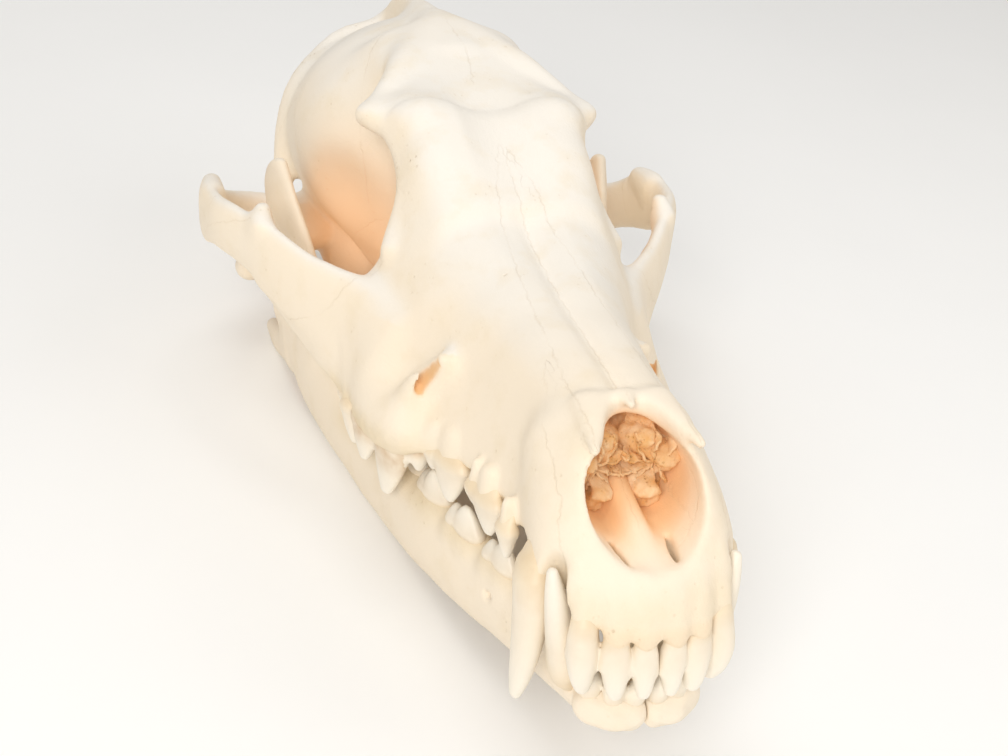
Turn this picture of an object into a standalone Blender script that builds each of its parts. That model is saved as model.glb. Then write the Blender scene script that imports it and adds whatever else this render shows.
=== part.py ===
"""A life-size coyote skull, standing on its own closed lower jaw.

The bones are modelled in an anatomical frame in millimetres: Y runs back from the front of the
upper tooth sockets, Z runs up from the plane of the palate, and X runs to the animal's left.
Each bone is a smooth blend of simple solids, with its hollows and canals cut out of it. Each cusp
of a tooth is a closed cone whose root is sunk into its bone, and it is one solid with that bone.
The finished bones are tilted back, the way the curved border of the jaw makes a skull rest, and
stand on the floor at Z = 0, with the origin below the middle of the bounding box.
"""

import math

import bmesh
import bpy
import numpy as np
import openvdb
from mathutils import Matrix, Vector

# Driving dimensions, in millimetres and degrees
GRID_STEP = 1.2
CRANIUM_TRIANGLES = 7500
JAW_TRIANGLES = 1900
REST_TILT = 11.0
REST_SHIFT = (0.0, -101.6, 42.0)
SEAM_GAP = 0.3
CURVE_PIECES = 4
CUSP_SIDES = 7
CANINE_SIDES = 11
FAR = 12.0
MM = 0.001

# The rounded bar that each half of the lower jaw hinges on, from its inner to its outer end
JAW_HINGE = ((26.8, 155.5, 5.2), (33, 155.0, 5.7), (40, 154.5, 6.2))
CONDYLE_RADIUS = 3.3
JOINT_GAP = 0.5

# The face at stations along Y: station, top of the midline, half width at the top, half width at
# the tooth sockets, height of the tooth sockets
FACE = (
    (-3, 0.5, 5.0, 6.0, -3.0),
    (3, 4.5, 7.5, 10.5, -2.2),
    (8, 11.0, 8.0, 13.0, 1.5),
    (13, 19.0, 8.6, 14.1, 3.2),
    (18, 24.4, 8.9, 14.5, 2.6),
    (24, 26.4, 9.2, 14.5, 2.6),
    (34, 28.5, 9.0, 14.4, 2.6),
    (50, 31.0, 9.3, 17.2, 2.2),
    (64, 33.5, 11.0, 21.5, 1.6),
    (78, 37.5, 14.0, 27.0, 0.8),
    (90, 43.0, 16.5, 28.4, 0.4),
    (100, 48.0, 16.8, 27.5, 1.0),
    (108, 51.0, 17.5, 24.0, 2.0),
)

# The brow and the front of the braincase, with the same columns
BROW = (
    (84, 40.0, 14.5, 9.0, 10.0),
    (96, 46.5, 16.5, 9.5, 10.0),
    (106, 51.5, 18.0, 10.0, 10.0),
    (113, 54.5, 19.5, 10.5, 10.0),
    (122, 57.5, 17.0, 11.5, 10.0),
    (132, 60.0, 15.5, 13.0, 10.0),
    (144, 61.5, 14.0, 15.0, 10.0),
)

# The cusps of the upper teeth of the left side: name, middle of the neck, tip, half width across
# the row, half width along it, length of root, and turn of the row outward in degrees
UPPER_TEETH = (
    ("first_incisor", (2.3, 2.8, -3.0), (2.2, 1.8, -12.4), 2.2, 2.4, 5, 0),
    ("second_incisor", (6.6, 3.6, -2.8), (6.3, 3.0, -12.6), 2.4, 2.7, 5, 12),
    ("third_incisor", (10.8, 6.2, -1.0), (10.5, 6.4, -13.2), 2.7, 3.2, 5, 25),
    ("canine", (15.4, 17.7, 2.2), (16.4, 19.4, -22.6), 2.9, 4.3, 8, 0),
    ("first_premolar", (15.8, 31, 2.5), (15.5, 31, -3), 1.6, 2.6, 4, -5),
    ("second_premolar", (15.9, 42, 2.5), (15.4, 42.5, -4.2), 1.9, 4.6, 4, -10),
    ("second_premolar_heel", (16.8, 46, 2.5), (16.6, 46.3, -0.6), 1.7, 2.4, 4, -12),
    ("third_premolar", (18.2, 57, 2.5), (18.2, 57.5, -5.2), 2.2, 5.2, 4, -14),
    ("third_premolar_heel", (19.8, 62, 2.0), (19.8, 62.3, -1.8), 2.0, 3.0, 4, -16),
    ("carnassial_blade", (24.6, 73, 1.5), (25.6, 74.5, -11.5), 2.6, 6.4, 5, -16),
    ("carnassial_heel", (27.8, 81.5, 0.5), (28.4, 82, -8.2), 2.5, 4.6, 5, -14),
    ("carnassial_inner", (21.0, 67.5, 1.5), (21.2, 67.5, -4.0), 2.2, 2.4, 4, 0),
    ("first_molar_front", (28.8, 89, 0.5), (28.6, 89, -8.0), 2.8, 3.6, 4, 0),
    ("first_molar_back", (28.2, 95, 0.5), (28.1, 95, -7.0), 2.6, 3.2, 4, 10),
    ("first_molar_inner", (22.6, 92, 2.0), (22.4, 92, -3.6), 4.0, 4.0, 4, 15),
    ("second_molar", (25.5, 101.5, 2.0), (25.4, 101.5, -3.6), 2.6, 3.0, 4, 15),
    ("second_molar_inner", (21.4, 102, 2.5), (21.2, 102, -2.2), 2.6, 2.6, 4, 15),
)

# The same for the lower teeth, whose tips point up
LOWER_TEETH = (
    ("first_incisor", (2.1, 6.6, -16.0), (2.1, 5.2, -11.0), 1.7, 2.1, 4, 0),
    ("second_incisor", (5.4, 7.2, -16.0), (5.3, 5.9, -10.8), 1.8, 2.2, 4, 8),
    ("third_incisor", (8.4, 9.0, -15.5), (8.5, 8.6, -10.6), 1.8, 2.3, 4, 20),
    ("canine", (10.4, 13.4, -14.0), (15.0, 10.8, 5.2), 2.8, 3.7, 7, 15),
    ("first_premolar", (11.0, 29, -11.5), (11.3, 29, -8.0), 1.5, 2.0, 4, -5),
    ("second_premolar", (12.4, 40.5, -11), (12.7, 40, -6.6), 1.8, 4.0, 4, -10),
    ("second_premolar_heel", (13.4, 44.5, -11), (13.5, 44.4, -8.0), 1.7, 2.2, 4, -10),
    ("third_premolar", (15.4, 52.5, -10.5), (16.2, 51.8, -5.4), 2.0, 4.4, 4, -14),
    ("third_premolar_heel", (16.4, 57, -10.5), (16.6, 57, -7.2), 1.9, 2.4, 4, -14),
    ("fourth_premolar", (17.6, 65.5, -10), (18.6, 65.3, -4.6), 2.2, 4.4, 4, -16),
    ("fourth_premolar_heel", (18.2, 70, -10), (18.6, 70, -6.6), 2.1, 2.6, 4, -16),
    ("carnassial_front", (18.4, 75.5, -9.5), (18.6, 76, -3.4), 2.2, 3.8, 5, -12),
    ("carnassial_blade", (19.6, 81.5, -9.5), (19.8, 82, -2.2), 2.4, 4.4, 5, -12),
    ("carnassial_heel", (21.2, 88, -8.5), (21.2, 88, -5.0), 2.8, 3.6, 5, -10),
    ("second_molar", (22.6, 95.5, -8), (22.6, 95.5, -5.0), 2.6, 3.8, 4, -8),
    ("third_molar", (24.2, 102.5, -6), (24.2, 102.5, -3.6), 2.0, 2.2, 4, -8),
)


def curve(table, column, at):
    """One column of a table of stations, as a smooth curve through its values."""
    rows = np.array(table, float)
    station, value = rows[:, 0], rows[:, column]
    slope = np.gradient(value, station)
    i = np.clip(np.searchsorted(station, at) - 1, 0, len(station) - 2)
    length = station[i + 1] - station[i]
    t = np.clip((at - station[i]) / length, 0, 1)
    return (
        value[i] * (2 * t**3 - 3 * t**2 + 1)
        + value[i + 1] * (3 * t**2 - 2 * t**3)
        + slope[i] * length * (t**3 - 2 * t**2 + t)
        + slope[i + 1] * length * (t**3 - t**2)
    )


def smooth_min(a, b, blend):
    """The union of two fields, with a fillet about as wide as blend."""
    near = np.maximum(blend - np.abs(a - b), 0)
    return np.minimum(a, b) - near * near / (4 * blend)


def smooth_max(a, b, blend):
    """What two fields share, with its edge rounded about as wide as blend."""
    return -smooth_min(-a, -b, blend)


class Solid:
    """A function of distance, and the box that holds all of its inside."""

    def __init__(self, low, high, distance):
        self.low, self.high, self.distance = np.array(low, float), np.array(high, float), distance


def ellipsoid(centre, radii, turn_x=0.0, turn_y=0.0, turn_z=0.0):
    """An ellipsoid, turned in degrees about X, then Y, then Z."""
    turn = (
        Matrix.Rotation(math.radians(turn_z), 3, "Z")
        @ Matrix.Rotation(math.radians(turn_y), 3, "Y")
        @ Matrix.Rotation(math.radians(turn_x), 3, "X")
    )
    axes = np.array(turn).T
    reach = np.sqrt(((axes * np.array(radii)[:, None]) ** 2).sum(axis=0))

    def distance(x, y, z):
        first, second = 0, 0
        for axis, radius in zip(axes, radii):
            along = (x - centre[0]) * axis[0] + (y - centre[1]) * axis[1] + (z - centre[2]) * axis[2]
            first = first + (along / radius) ** 2
            second = second + (along / radius**2) ** 2
        first, second = np.sqrt(first), np.sqrt(second) + 1e-9
        return first * (first - 1) / second

    return Solid(np.array(centre) - reach, np.array(centre) + reach, distance)


def resampled(points, pieces):
    """The rows of points, with a smooth curve through them cut in this many pieces a span."""
    rows = np.column_stack([np.arange(len(points)), np.array(points, float)])
    at = np.linspace(0, len(points) - 1, (len(points) - 1) * pieces + 1)
    return np.column_stack([curve(rows, column, at) for column in range(1, rows.shape[1])])


def sweep(*points, pieces=CURVE_PIECES, across=None):
    """A bar along points of (x, y, z, half height, half thickness). Its thickness lies level, or
    as near as may be along a direction given as across."""
    rows = resampled(points, pieces) if len(points) > 2 else np.array(points, float)
    reach = rows[:, 3:5].max(axis=1)[:, None]
    low, high = (rows[:, :3] - reach).min(axis=0), (rows[:, :3] + reach).max(axis=0)

    def distance(x, y, z):
        nearest = np.float32(1e6)
        for start, end in zip(rows[:-1], rows[1:]):
            step = end[:3] - start[:3]
            length = np.linalg.norm(step)
            ahead = step / length
            side = np.array([ahead[1], -ahead[0], 0.0]) if across is None else np.array(across, float)
            side = side - ahead * (side @ ahead)
            side = side / np.linalg.norm(side)
            up = np.cross(side, ahead)
            px, py, pz = x - start[0], y - start[1], z - start[2]
            along = px * ahead[0] + py * ahead[1] + pz * ahead[2]
            share = np.clip(along / length, 0, 1)
            half_height = start[3] + share * (end[3] - start[3])
            half_thickness = start[4] + share * (end[4] - start[4])
            cap = np.minimum(half_height, half_thickness)
            out = (along - share * length) / cap
            level = (px * side[0] + py * side[1] + pz * side[2]) / half_thickness
            rise = (px * up[0] + py * up[1] + pz * up[2]) / half_height
            first = np.sqrt(out**2 + level**2 + rise**2)
            steep = (out / cap) ** 2 + (level / half_thickness) ** 2 + (rise / half_height) ** 2
            second = np.sqrt(steep)
            nearest = np.minimum(nearest, first * (first - 1) / (second + 1e-9))
        return nearest

    return Solid(low, high, distance)


class Field:
    """Distances to a bone's surface on a grid of points, in millimetres, below zero inside."""

    def __init__(self, low, high):
        self.axes = [np.arange(a, b, GRID_STEP) for a, b in zip(low, high)]
        self.values = np.full([len(axis) for axis in self.axes], FAR, np.float32)

    def _near(self, solid, margin):
        cuts = tuple(
            slice(*np.searchsorted(axis, (low - margin, high + margin)))
            for axis, low, high in zip(self.axes, solid.low, solid.high)
        )
        return cuts, solid.distance(*np.ix_(*(axis[cut] for axis, cut in zip(self.axes, cuts))))

    def add(self, solid, blend=3.0):
        """Joins a solid to the bone."""
        cuts, distance = self._near(solid, blend + 2 * GRID_STEP)
        self.values[cuts] = smooth_min(self.values[cuts], distance, blend)

    def cut(self, solid, blend=2.0):
        """Takes a solid out of the bone."""
        cuts, distance = self._near(solid, blend + 2 * GRID_STEP)
        self.values[cuts] = smooth_max(self.values[cuts], -distance, blend)

    def mesh(self, name, triangles, mirrored):
        """The surface as an object in the anatomical frame, with about this many triangles."""
        values, low = self.values, np.array([axis[0] for axis in self.axes])
        if mirrored:
            values = np.concatenate([values[:0:-1], values])
            low[0] = -self.axes[0][-1]
        grid = openvdb.FloatGrid(FAR)
        grid.copyFromArray(np.ascontiguousarray(values, np.float32))
        points, threes, fours = grid.convertToPolygons(isovalue=0.0, adaptivity=0.0)
        mesh = bpy.data.meshes.new(name)
        mesh.from_pydata(points * GRID_STEP + low, [], [*threes.tolist(), *fours.tolist()])
        solid = bmesh.new()
        solid.from_mesh(mesh)
        bmesh.ops.triangulate(solid, faces=solid.faces)
        if solid.calc_volume(signed=True) < 0:
            bmesh.ops.reverse_faces(solid, faces=solid.faces)
        count = len(solid.faces)
        solid.to_mesh(mesh)
        solid.free()
        obj = linked(name, mesh)
        reduce = obj.modifiers.new("Fewer faces", "DECIMATE")
        reduce.ratio = triangles / count
        apply_modifiers(obj)
        keep_largest(obj)
        return obj


def linked(name, mesh):
    """A new object in the skull's collection."""
    obj = bpy.data.objects.new(name, mesh)
    bpy.data.collections["coyote_skull"].objects.link(obj)
    return obj


def apply_modifiers(obj):
    """The object's mesh as its modifiers leave it."""
    graph = bpy.context.evaluated_depsgraph_get()
    made = bpy.data.meshes.new_from_object(obj.evaluated_get(graph))
    obj.modifiers.clear()
    obj.data = made


def keep_largest(obj):
    """Drops every closed surface of a mesh but the one with the most faces."""
    solid = bmesh.new()
    solid.from_mesh(obj.data)
    left, islands = set(solid.faces), []
    while left:
        island, edge = set(), [left.pop()]
        while edge:
            face = edge.pop()
            island.add(face)
            beside = {f for e in face.edges for f in e.link_faces} & left
            left -= beside
            edge.extend(beside)
        islands.append(island)
    islands.sort(key=len)
    for island in islands[:-1]:
        bmesh.ops.delete(solid, geom=list(island), context="FACES")
    solid.to_mesh(obj.data)
    solid.free()


def tapered(table, first, last, power, crown, lean=0.0, bow=0.0):
    """A block with sloping sides: its top, its floor and both half widths follow a table along Y.
    Its front leans back with height, and bows back to each side."""

    def distance(x, y, z):
        top, floor = curve(table, 1, y), curve(table, 4, y)
        high = np.clip((z - floor) / (top - floor), 0, 1.3)
        upper, lower = curve(table, 2, y), curve(table, 3, y)
        side = (np.abs(x) - lower - (upper - lower) * high**power) * 0.9
        roof = (z - top - crown(np.abs(x), y)) * 0.9
        ends = np.maximum(first + lean * (z - floor) + bow * x * x - y, y - last)
        block = smooth_max(smooth_max(side, roof, 7.0), floor - z, 3.0)
        return smooth_max(block, ends, 3.0)

    rows = np.array(table, float)
    wide = rows[:, 2:4].max()
    return Solid((-wide, first, rows[:, 4].min()), (wide, last, rows[:, 1].max() + 4), distance)


def bump(at, centre, half_width):
    """A smooth hump of height 1 at centre that ends half_width to each side."""
    near = np.clip(1 - np.abs((at - centre) / half_width), 0, 1)
    return near * near * (3 - 2 * near)


def nasal_crown(x, y):
    """Height over the midline: the trough along the nasal bones, deepest between the brows."""
    trough = 1.0 * bump(y, 55, 60) + 2.2 * bump(y, 101, 22)
    return trough * np.clip(x / 7.0, 0, 1) ** 2


def brow_crown(x, y):
    """Height over the midline of the forehead, which is hollow between the brows."""
    return 2.4 * bump(y, 101, 20) * np.clip(x / 8.0, 0, 1) ** 2


def face(bone):
    """The muzzle, cheeks and palate, up to the back of the tooth rows."""
    bone.add(tapered(FACE, 0.3, 104.0, 1.9, nasal_crown, lean=0.45, bow=0.032), 1.0)
    bone.add(sweep((12.9, 13.5, 3, 3, 2.8), (12.4, 21, 10, 4.5, 2.9), (11.4, 30, 17, 4, 3)), 5.0)
    bone.add(ellipsoid((25.0, 77, 4), (5, 13, 6)), 8.0)
    bone.cut(ellipsoid((26, 51, 18), (7.2, 25, 10), turn_z=-10), 9.0)
    bone.add(tapered(BROW, 84.0, 142.0, 1.3, brow_crown), 6.0)


def braincase(bone):
    """The vault, its crests and the back of the head."""
    bone.add(ellipsoid((0, 154, 36), (30, 35, 26.5)), 9.0)
    bone.add(ellipsoid((0, 172, 32), (27.5, 20, 22)), 8.0)
    bone.add(ellipsoid((0, 181, 33), (27, 8, 22), turn_x=-17), 6.0)
    bone.add(
        sweep(
            (0, 132, 58.5, 2, 4),
            (0, 150, 61.5, 2.5, 2.8),
            (0, 170, 61.8, 3, 2),
            (0, 186, 58.5, 4, 2),
            (0, 194, 53.5, 3.5, 2.5),
        ),
        5.0,
    )
    bone.add(
        sweep(
            (22.5, 113, 50.2, 1.6, 1.8),
            (16, 122, 55.5, 2, 2),
            (8.5, 134, 59.5, 2, 2.5),
            (0, 150, 62, 2, 3),
        ),
        3.5,
    )
    bone.add(
        sweep(
            (28, 171, 11, 3, 2.5),
            (29.2, 177, 21, 2.5, 2),
            (24.8, 185, 38.5, 2.5, 2),
            (13.8, 191.5, 50, 2.5, 2),
            (0, 194, 53.5, 2.5, 2),
        ),
        5.0,
    )


def orbits(bone):
    """The eye sockets and the rims and processes round them."""
    bone.cut(ellipsoid((32.5, 110, 34), (17.5, 19, 19)), 3.0)
    bone.cut(ellipsoid((36, 122, 22), (19, 24, 24)), 5.0)
    bone.add(sweep((13, 108, 50, 3.5, 5), (18, 111, 50.2, 2.2, 3), (22.8, 114, 50.0, 0.9, 1.1)), 5.0)
    bone.add(
        sweep(
            (22, 113, 50.2, 1.0, 1.2),
            (18.2, 106, 46.5, 1.3, 1.3),
            (17.8, 98, 38, 1.3, 1.3),
            (22.5, 91.0, 30, 1.6, 1.6),
        ),
        3.0,
    )


def arch(bone):
    """The cheek's arch, from the maxilla out and back to the joint of the jaw."""
    bone.add(
        sweep(
            (23.4, 83, 12.0, 8.4, 4.2),
            (28, 92, 15.8, 8.4, 3.1),
            (36.3, 103, 18.8, 7.2, 2.4),
            (43.0, 114, 22.9, 6.3, 2.1),
            (49.4, 128, 24.6, 5.6, 2.2),
            (50.4, 141, 23.6, 6.8, 2.1),
            (46.8, 151, 19.5, 5.6, 2.2),
            (40, 157, 17.0, 6, 3.0),
            (29, 160, 16.0, 5, 5),
        ),
        5.0,
    )
    bone.add(sweep((49.5, 138, 27, 3, 2), (49.4, 145, 28.6, 1.6, 1.5)), 3.0)
    bone.add(sweep((43, 115, 27.5, 3, 2), (42.6, 116.5, 30.6, 1.8, 1.6)), 3.0)
    bone.add(
        sweep(
            (27.0, 90, 5.0, 5, 3),
            (31.5, 98, 7.0, 5, 2.8),
            (35.5, 106, 11.5, 5, 2.4),
            (40.5, 114, 17.0, 4, 2),
        ),
        4.0,
    )
    bone.add(ellipsoid((31.5, 158, 12.5), (12, 8, 4.0)), 4.0)
    socket = CONDYLE_RADIUS + JOINT_GAP
    bone.cut(sweep(*((x, y, z, socket, socket) for x, y, z in JAW_HINGE)), 0.8)
    bone.add(sweep((25, 163, 10, 3, 3), (28, 163.5, 4.5, 2, 2.5)), 3.0)


def underside(bone):
    """The palate, the passage behind it, the base of the braincase and its ear capsules."""
    bone.cut(sweep((0, 13, -3.5, 4, 9), (0, 50, -1.0, 4, 11), (0, 95, -0.5, 4, 16)), 3.0)
    bone.add(
        sweep(
            (10.5, 96, 6, 7, 2),
            (10, 112, 6, 8, 1.6),
            (9, 124, 5, 6, 1.2),
            (8.5, 129, 1, 2, 1),
        ),
        3.0,
    )
    bone.cut(sweep((0, 100, 5, 6, 8), (0, 118, 5, 8, 8), (0, 132, 3, 8, 8.5)), 2.0)
    bone.add(sweep((0, 118, 14, 3.5, 8), (0, 150, 12.5, 3.5, 10), (0, 178, 12.5, 3.5, 9)), 4.0)
    bone.add(ellipsoid((14.5, 157, 8.5), (8.2, 12.5, 8.2), turn_z=-12), 2.0)
    bone.add(ellipsoid((8.5, 183.5, 19), (5.2, 5.5, 8.5), turn_x=25), 3.0)
    bone.cut(ellipsoid((0, 187, 24.5), (8, 13, 6.5), turn_x=-10), 2.5)
    bone.add(sweep((19.5, 177, 12, 4, 4), (20.5, 180.5, 2.5, 1.5, 2)), 3.0)
    bone.cut(ellipsoid((27, 167, 14), (6, 2.8, 2.8)), 1.5)


def nose(bone):
    """The opening of the nose, with the rolled bones that close it behind, and the canals."""
    bone.cut(
        sweep(
            (0, -4, 13, 7.0, 7.5),
            (0, 8, 14.4, 8.2, 9.2),
            (0, 20, 15.6, 8.6, 9.3),
            (0, 34, 17, 8, 8),
        ),
        1.6,
    )
    bone.cut(ellipsoid((0, 11, 26), (8.2, 13.5, 8)), 1.5)
    bone.add(sweep((5.5, 26, 26.3, 1.0, 2.5), (8.6, 14.5, 23.0, 0.9, 0.9)), 2.0)
    bone.add(
        sweep(
            (0, 5, 4, 1.2, 1.2),
            (0, 14, 6.5, 2.6, 1.1),
            (0, 26, 9, 4.5, 1.1),
            (0, 40, 13, 8, 1.4),
        ),
        1.5,
    )
    for y, z, size in ((26, 12, 4.2), (29, 18.5, 4.6), (33, 24, 3.6)):
        bone.add(ellipsoid((4.6, y + 4, z), (3.4, 8, size)), 1.0)
    bone.add(sweep((19.4, 62.5, 18.5, 1.2, 1.2), (22.6, 66.8, 13, 1.8, 1.8), (23.6, 69, 7, 1.5, 1.5)), 5.0)
    slit = ((20.2, 60.0, 17.4, 0.6, 2.2), (21.4, 62.4, 13.4, 1.4, 3.4), (22.4, 65.2, 9.8, 0.8, 2.2))
    bone.cut(sweep(*slit, across=(1, 0.35, 0)), 0.9)
    bone.cut(sweep((12.4, 12.5, -6, 3.4, 3.4), (15.2, 10.8, 6.0, 2.4, 2.4)), 1.0)


def cranium():
    """The upper skull, one bone in an adult."""
    bone = Field((0, -6, -12), (58, 206, 72))
    face(bone)
    braincase(bone)
    orbits(bone)
    arch(bone)
    underside(bone)
    nose(bone)
    return bone.mesh("cranium", CRANIUM_TRIANGLES, mirrored=True)


def jaw():
    """The left half of the lower jaw, with a little past the midline to cut off."""
    bone = Field((-3, -4, -36), (58, 174, 48))
    bone.add(
        sweep(
            (2.2, 6.0, -17.4, 1.9, 4.2),
            (4.8, 11, -17.4, 4.2, 4.6),
            (6.9, 20, -18.0, 5.6, 4.2),
            (8.8, 30, -18.1, 6.7, 3.9),
            (11.5, 42, -18.2, 7.7, 3.9),
            (15.6, 58, -18.3, 8.5, 4.1),
            (19.0, 74, -17.9, 8.7, 4.4),
            (21.7, 90, -17.0, 8.6, 4.4),
            (25.2, 105, -13.4, 9.4, 4.0),
            (29.0, 120, -8.2, 10.6, 3.3),
            (31.8, 134, -2.2, 10.3, 2.7),
            (32.8, 146, 0.9, 8.4, 2.4),
        ),
        2.0,
    )
    bone.add(
        sweep(
            (29, 116, 2, 9, 2.2),
            (32, 126, 12, 9, 2.2),
            (35, 134, 23, 7.5, 2.0),
            (36.4, 139, 34, 3.6, 1.8),
            across=(1, -0.3, -0.2),
        ),
        4.0,
    )
    bone.add(
        sweep(
            (33.2, 138, 6, 8, 2.0),
            (34.6, 141, 18, 7, 1.9),
            (35.8, 141, 29.6, 5, 1.7),
            across=(1, -0.1, -0.1),
        ),
        3.0,
    )
    bone.add(sweep((33, 146, 2, 5, 2.5), (32.5, 152, 5, 3.5, 3), (32, 154.5, 5.5, 3.2, 3.2)), 3.0)
    bone.add(sweep(*((x, y, z, CONDYLE_RADIUS, CONDYLE_RADIUS) for x, y, z in JAW_HINGE)), 2.0)
    bone.add(sweep((31.6, 138, -9, 4, 2.5), (32.8, 150, -11, 3, 2.3), (33.6, 160, -10.5, 1.8, 1.8)), 3.0)
    bone.cut(ellipsoid((38.5, 135, 4), (5, 13, 9), turn_x=20), 3.0)
    return bone.mesh("mandible_left", JAW_TRIANGLES, mirrored=False)


def cone(name, neck, tip, half_across, half_along, root, turn, sides):
    """A closed cone of enamel in an ellipse of a section, with its root sunk into the bone."""
    neck, tip = Vector(neck), Vector(tip)
    axis = tip - neck
    across = Vector((math.cos(turn), math.sin(turn), 0)) * half_across
    along = Vector((-math.sin(turn), math.cos(turn), 0)) * half_along
    length = axis.length
    solid = bmesh.new()
    rings = []
    for height, width in ((-root / length, 0.75), (0, 0.94), (0.24, 1.0), (0.65, 0.68), (1, 0.22)):
        middle = neck + axis * height
        ring = []
        for i in range(sides):
            angle = math.tau * (i + 0.5) / sides
            outward = across * math.cos(angle) + along * math.sin(angle)
            ring.append(solid.verts.new(middle + outward * width))
        rings.append(ring)
    for lower, upper in zip(rings[:-1], rings[1:]):
        for i in range(sides):
            solid.faces.new((lower[i], lower[i - 1], upper[i - 1], upper[i]))
    solid.faces.new(rings[0])
    solid.faces.new(rings[-1][::-1])
    bmesh.ops.recalc_face_normals(solid, faces=solid.faces)
    mesh = bpy.data.meshes.new(name)
    solid.to_mesh(mesh)
    solid.free()
    return bpy.data.objects.new(name, mesh)


def teeth(bone, table, sides):
    """Joins both rows of cusps of a table, or only the left one, to their bone."""
    group = bpy.data.collections.new("teeth_of_" + bone.name)
    bpy.context.scene.collection.children.link(group)
    for name, neck, tip, half_across, half_along, root, turn in table:
        for side in sides:
            flip = Vector((side, 1, 1))
            spin = math.radians(turn) * side
            count = CANINE_SIDES if name == "canine" else CUSP_SIDES
            cusp = cone(name, Vector(neck) * flip, Vector(tip) * flip, half_across, half_along, root, spin, count)
            group.objects.link(cusp)
    union = bone.modifiers.new("Teeth", "BOOLEAN")
    union.operation = "UNION"
    union.operand_type = "COLLECTION"
    union.collection = group
    union.solver = "MANIFOLD"
    apply_modifiers(bone)
    for cusp in list(group.objects):
        bpy.data.objects.remove(cusp)
    bpy.data.collections.remove(group)
    keep_largest(bone)


def slab(name, low, high):
    """A box to cut with, in the anatomical frame's axes."""
    solid = bmesh.new()
    bmesh.ops.create_cube(solid, size=1.0)
    size = Vector(high) - Vector(low)
    bmesh.ops.scale(solid, vec=size, verts=solid.verts)
    bmesh.ops.translate(solid, vec=Vector(low) + size / 2, verts=solid.verts)
    mesh = bpy.data.meshes.new(name)
    solid.to_mesh(mesh)
    solid.free()
    box = bpy.data.objects.new(name, mesh)
    box.hide_render = True
    box.display_type = "WIRE"
    bpy.data.collections["cutters"].objects.link(box)
    return box


def trim(bone, box):
    """Cuts the box out of the bone, which leaves a flat face."""
    cut = bone.modifiers.new("Trim", "BOOLEAN")
    cut.operation = "DIFFERENCE"
    cut.object = box
    cut.solver = "EXACT"
    apply_modifiers(bone)
    keep_largest(bone)


def mirrored(bone, name):
    """The other side's bone."""
    mesh = bone.data.copy()
    mesh.transform(Matrix.Scale(-1, 4, (1, 0, 0)))
    mesh.flip_normals()
    return linked(name, mesh)


def bone_material(name, colour, roughness):
    """Bleached bone or enamel for one of the nodes."""
    material = bpy.data.materials.new(name)
    material.use_nodes = True
    shader = material.node_tree.nodes["Principled BSDF"]
    shader.inputs["Base Color"].default_value = (*colour, 1.0)
    shader.inputs["Roughness"].default_value = roughness
    shader.inputs["Metallic"].default_value = 0.0
    material.diffuse_color = (*colour, 1.0)
    return material


def placement():
    """From the anatomical frame in millimetres to the resting skull in metres."""
    tilt = Matrix.Rotation(math.radians(-REST_TILT), 4, "X")
    return Matrix.Scale(MM, 4) @ Matrix.Translation(REST_SHIFT) @ tilt


def main():
    for obj in list(bpy.data.objects):
        bpy.data.objects.remove(obj)
    for name in ("coyote_skull", "cutters"):
        bpy.context.scene.collection.children.link(bpy.data.collections.new(name))
    skull = cranium()
    teeth(skull, UPPER_TEETH, (1, -1))
    left = jaw()
    teeth(left, LOWER_TEETH, (1,))
    trim(left, slab("midline", (-20, -20, -60), (SEAM_GAP / 2, 60, 20)))
    right = mirrored(left, "mandible_right")
    for bone in (skull, left, right):
        bone.data.transform(placement())
    floor = slab("floor", (-0.2, -0.2, -0.1), (0.2, 0.2, 0))
    for bone in (left, right):
        trim(bone, floor)
    for bone, name, colour in (
        (skull, "cranium_bone", (0.86, 0.78, 0.66)),
        (left, "left_jaw_bone", (0.84, 0.75, 0.62)),
        (right, "right_jaw_bone", (0.84, 0.75, 0.62)),
    ):
        bone.data.materials.clear()
        bone.data.materials.append(bone_material(name, colour, 0.5))


if __name__ == "__main__":
    main()
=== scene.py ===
"""A bleached coyote skull with closed jaws, dressed for a studio picture.

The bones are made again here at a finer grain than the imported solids, from the same named sizes,
with sculpted teeth, sutures, canals and the crinkled plates inside the nose. All shapes are drawn
in an anatomical frame in millimetres: Y runs back from the upper tooth sockets, Z runs up from the
palate and X runs to the animal's left. Each finished mesh is then set down as the skull rests.
"""

from __future__ import annotations

import logging
import math
from dataclasses import dataclass
from enum import Enum
from typing import Any, Callable, Sequence

import bmesh
import bpy
import numpy as np
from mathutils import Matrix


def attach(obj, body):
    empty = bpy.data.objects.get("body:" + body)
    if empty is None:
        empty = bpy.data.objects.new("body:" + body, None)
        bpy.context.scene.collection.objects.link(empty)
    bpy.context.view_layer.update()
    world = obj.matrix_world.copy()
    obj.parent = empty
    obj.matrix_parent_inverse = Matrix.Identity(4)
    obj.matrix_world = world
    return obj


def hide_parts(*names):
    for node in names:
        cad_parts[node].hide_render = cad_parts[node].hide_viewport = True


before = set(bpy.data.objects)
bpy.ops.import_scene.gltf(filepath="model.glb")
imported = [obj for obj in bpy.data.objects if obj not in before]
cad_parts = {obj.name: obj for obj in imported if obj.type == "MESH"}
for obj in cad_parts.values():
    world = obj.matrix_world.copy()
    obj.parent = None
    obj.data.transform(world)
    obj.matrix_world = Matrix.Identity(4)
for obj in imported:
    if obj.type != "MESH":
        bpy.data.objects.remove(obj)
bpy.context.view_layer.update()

import openvdb
from mathutils import Matrix, Vector

Array = np.ndarray
Distance = Callable[[Array, Array, Array], Array]
Rows = Sequence[Sequence[float]]

log = logging.getLogger("coyote_skull")

MM = 0.001
# The distance of points that no solid comes near, one beyond all others, and a guard for divisions
FAR = 12.0
BEYOND = 1e6
TINY = 1e-9
# How much further than its fillet a solid is worked out around itself
NEAR_MARGIN = 2.4
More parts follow.
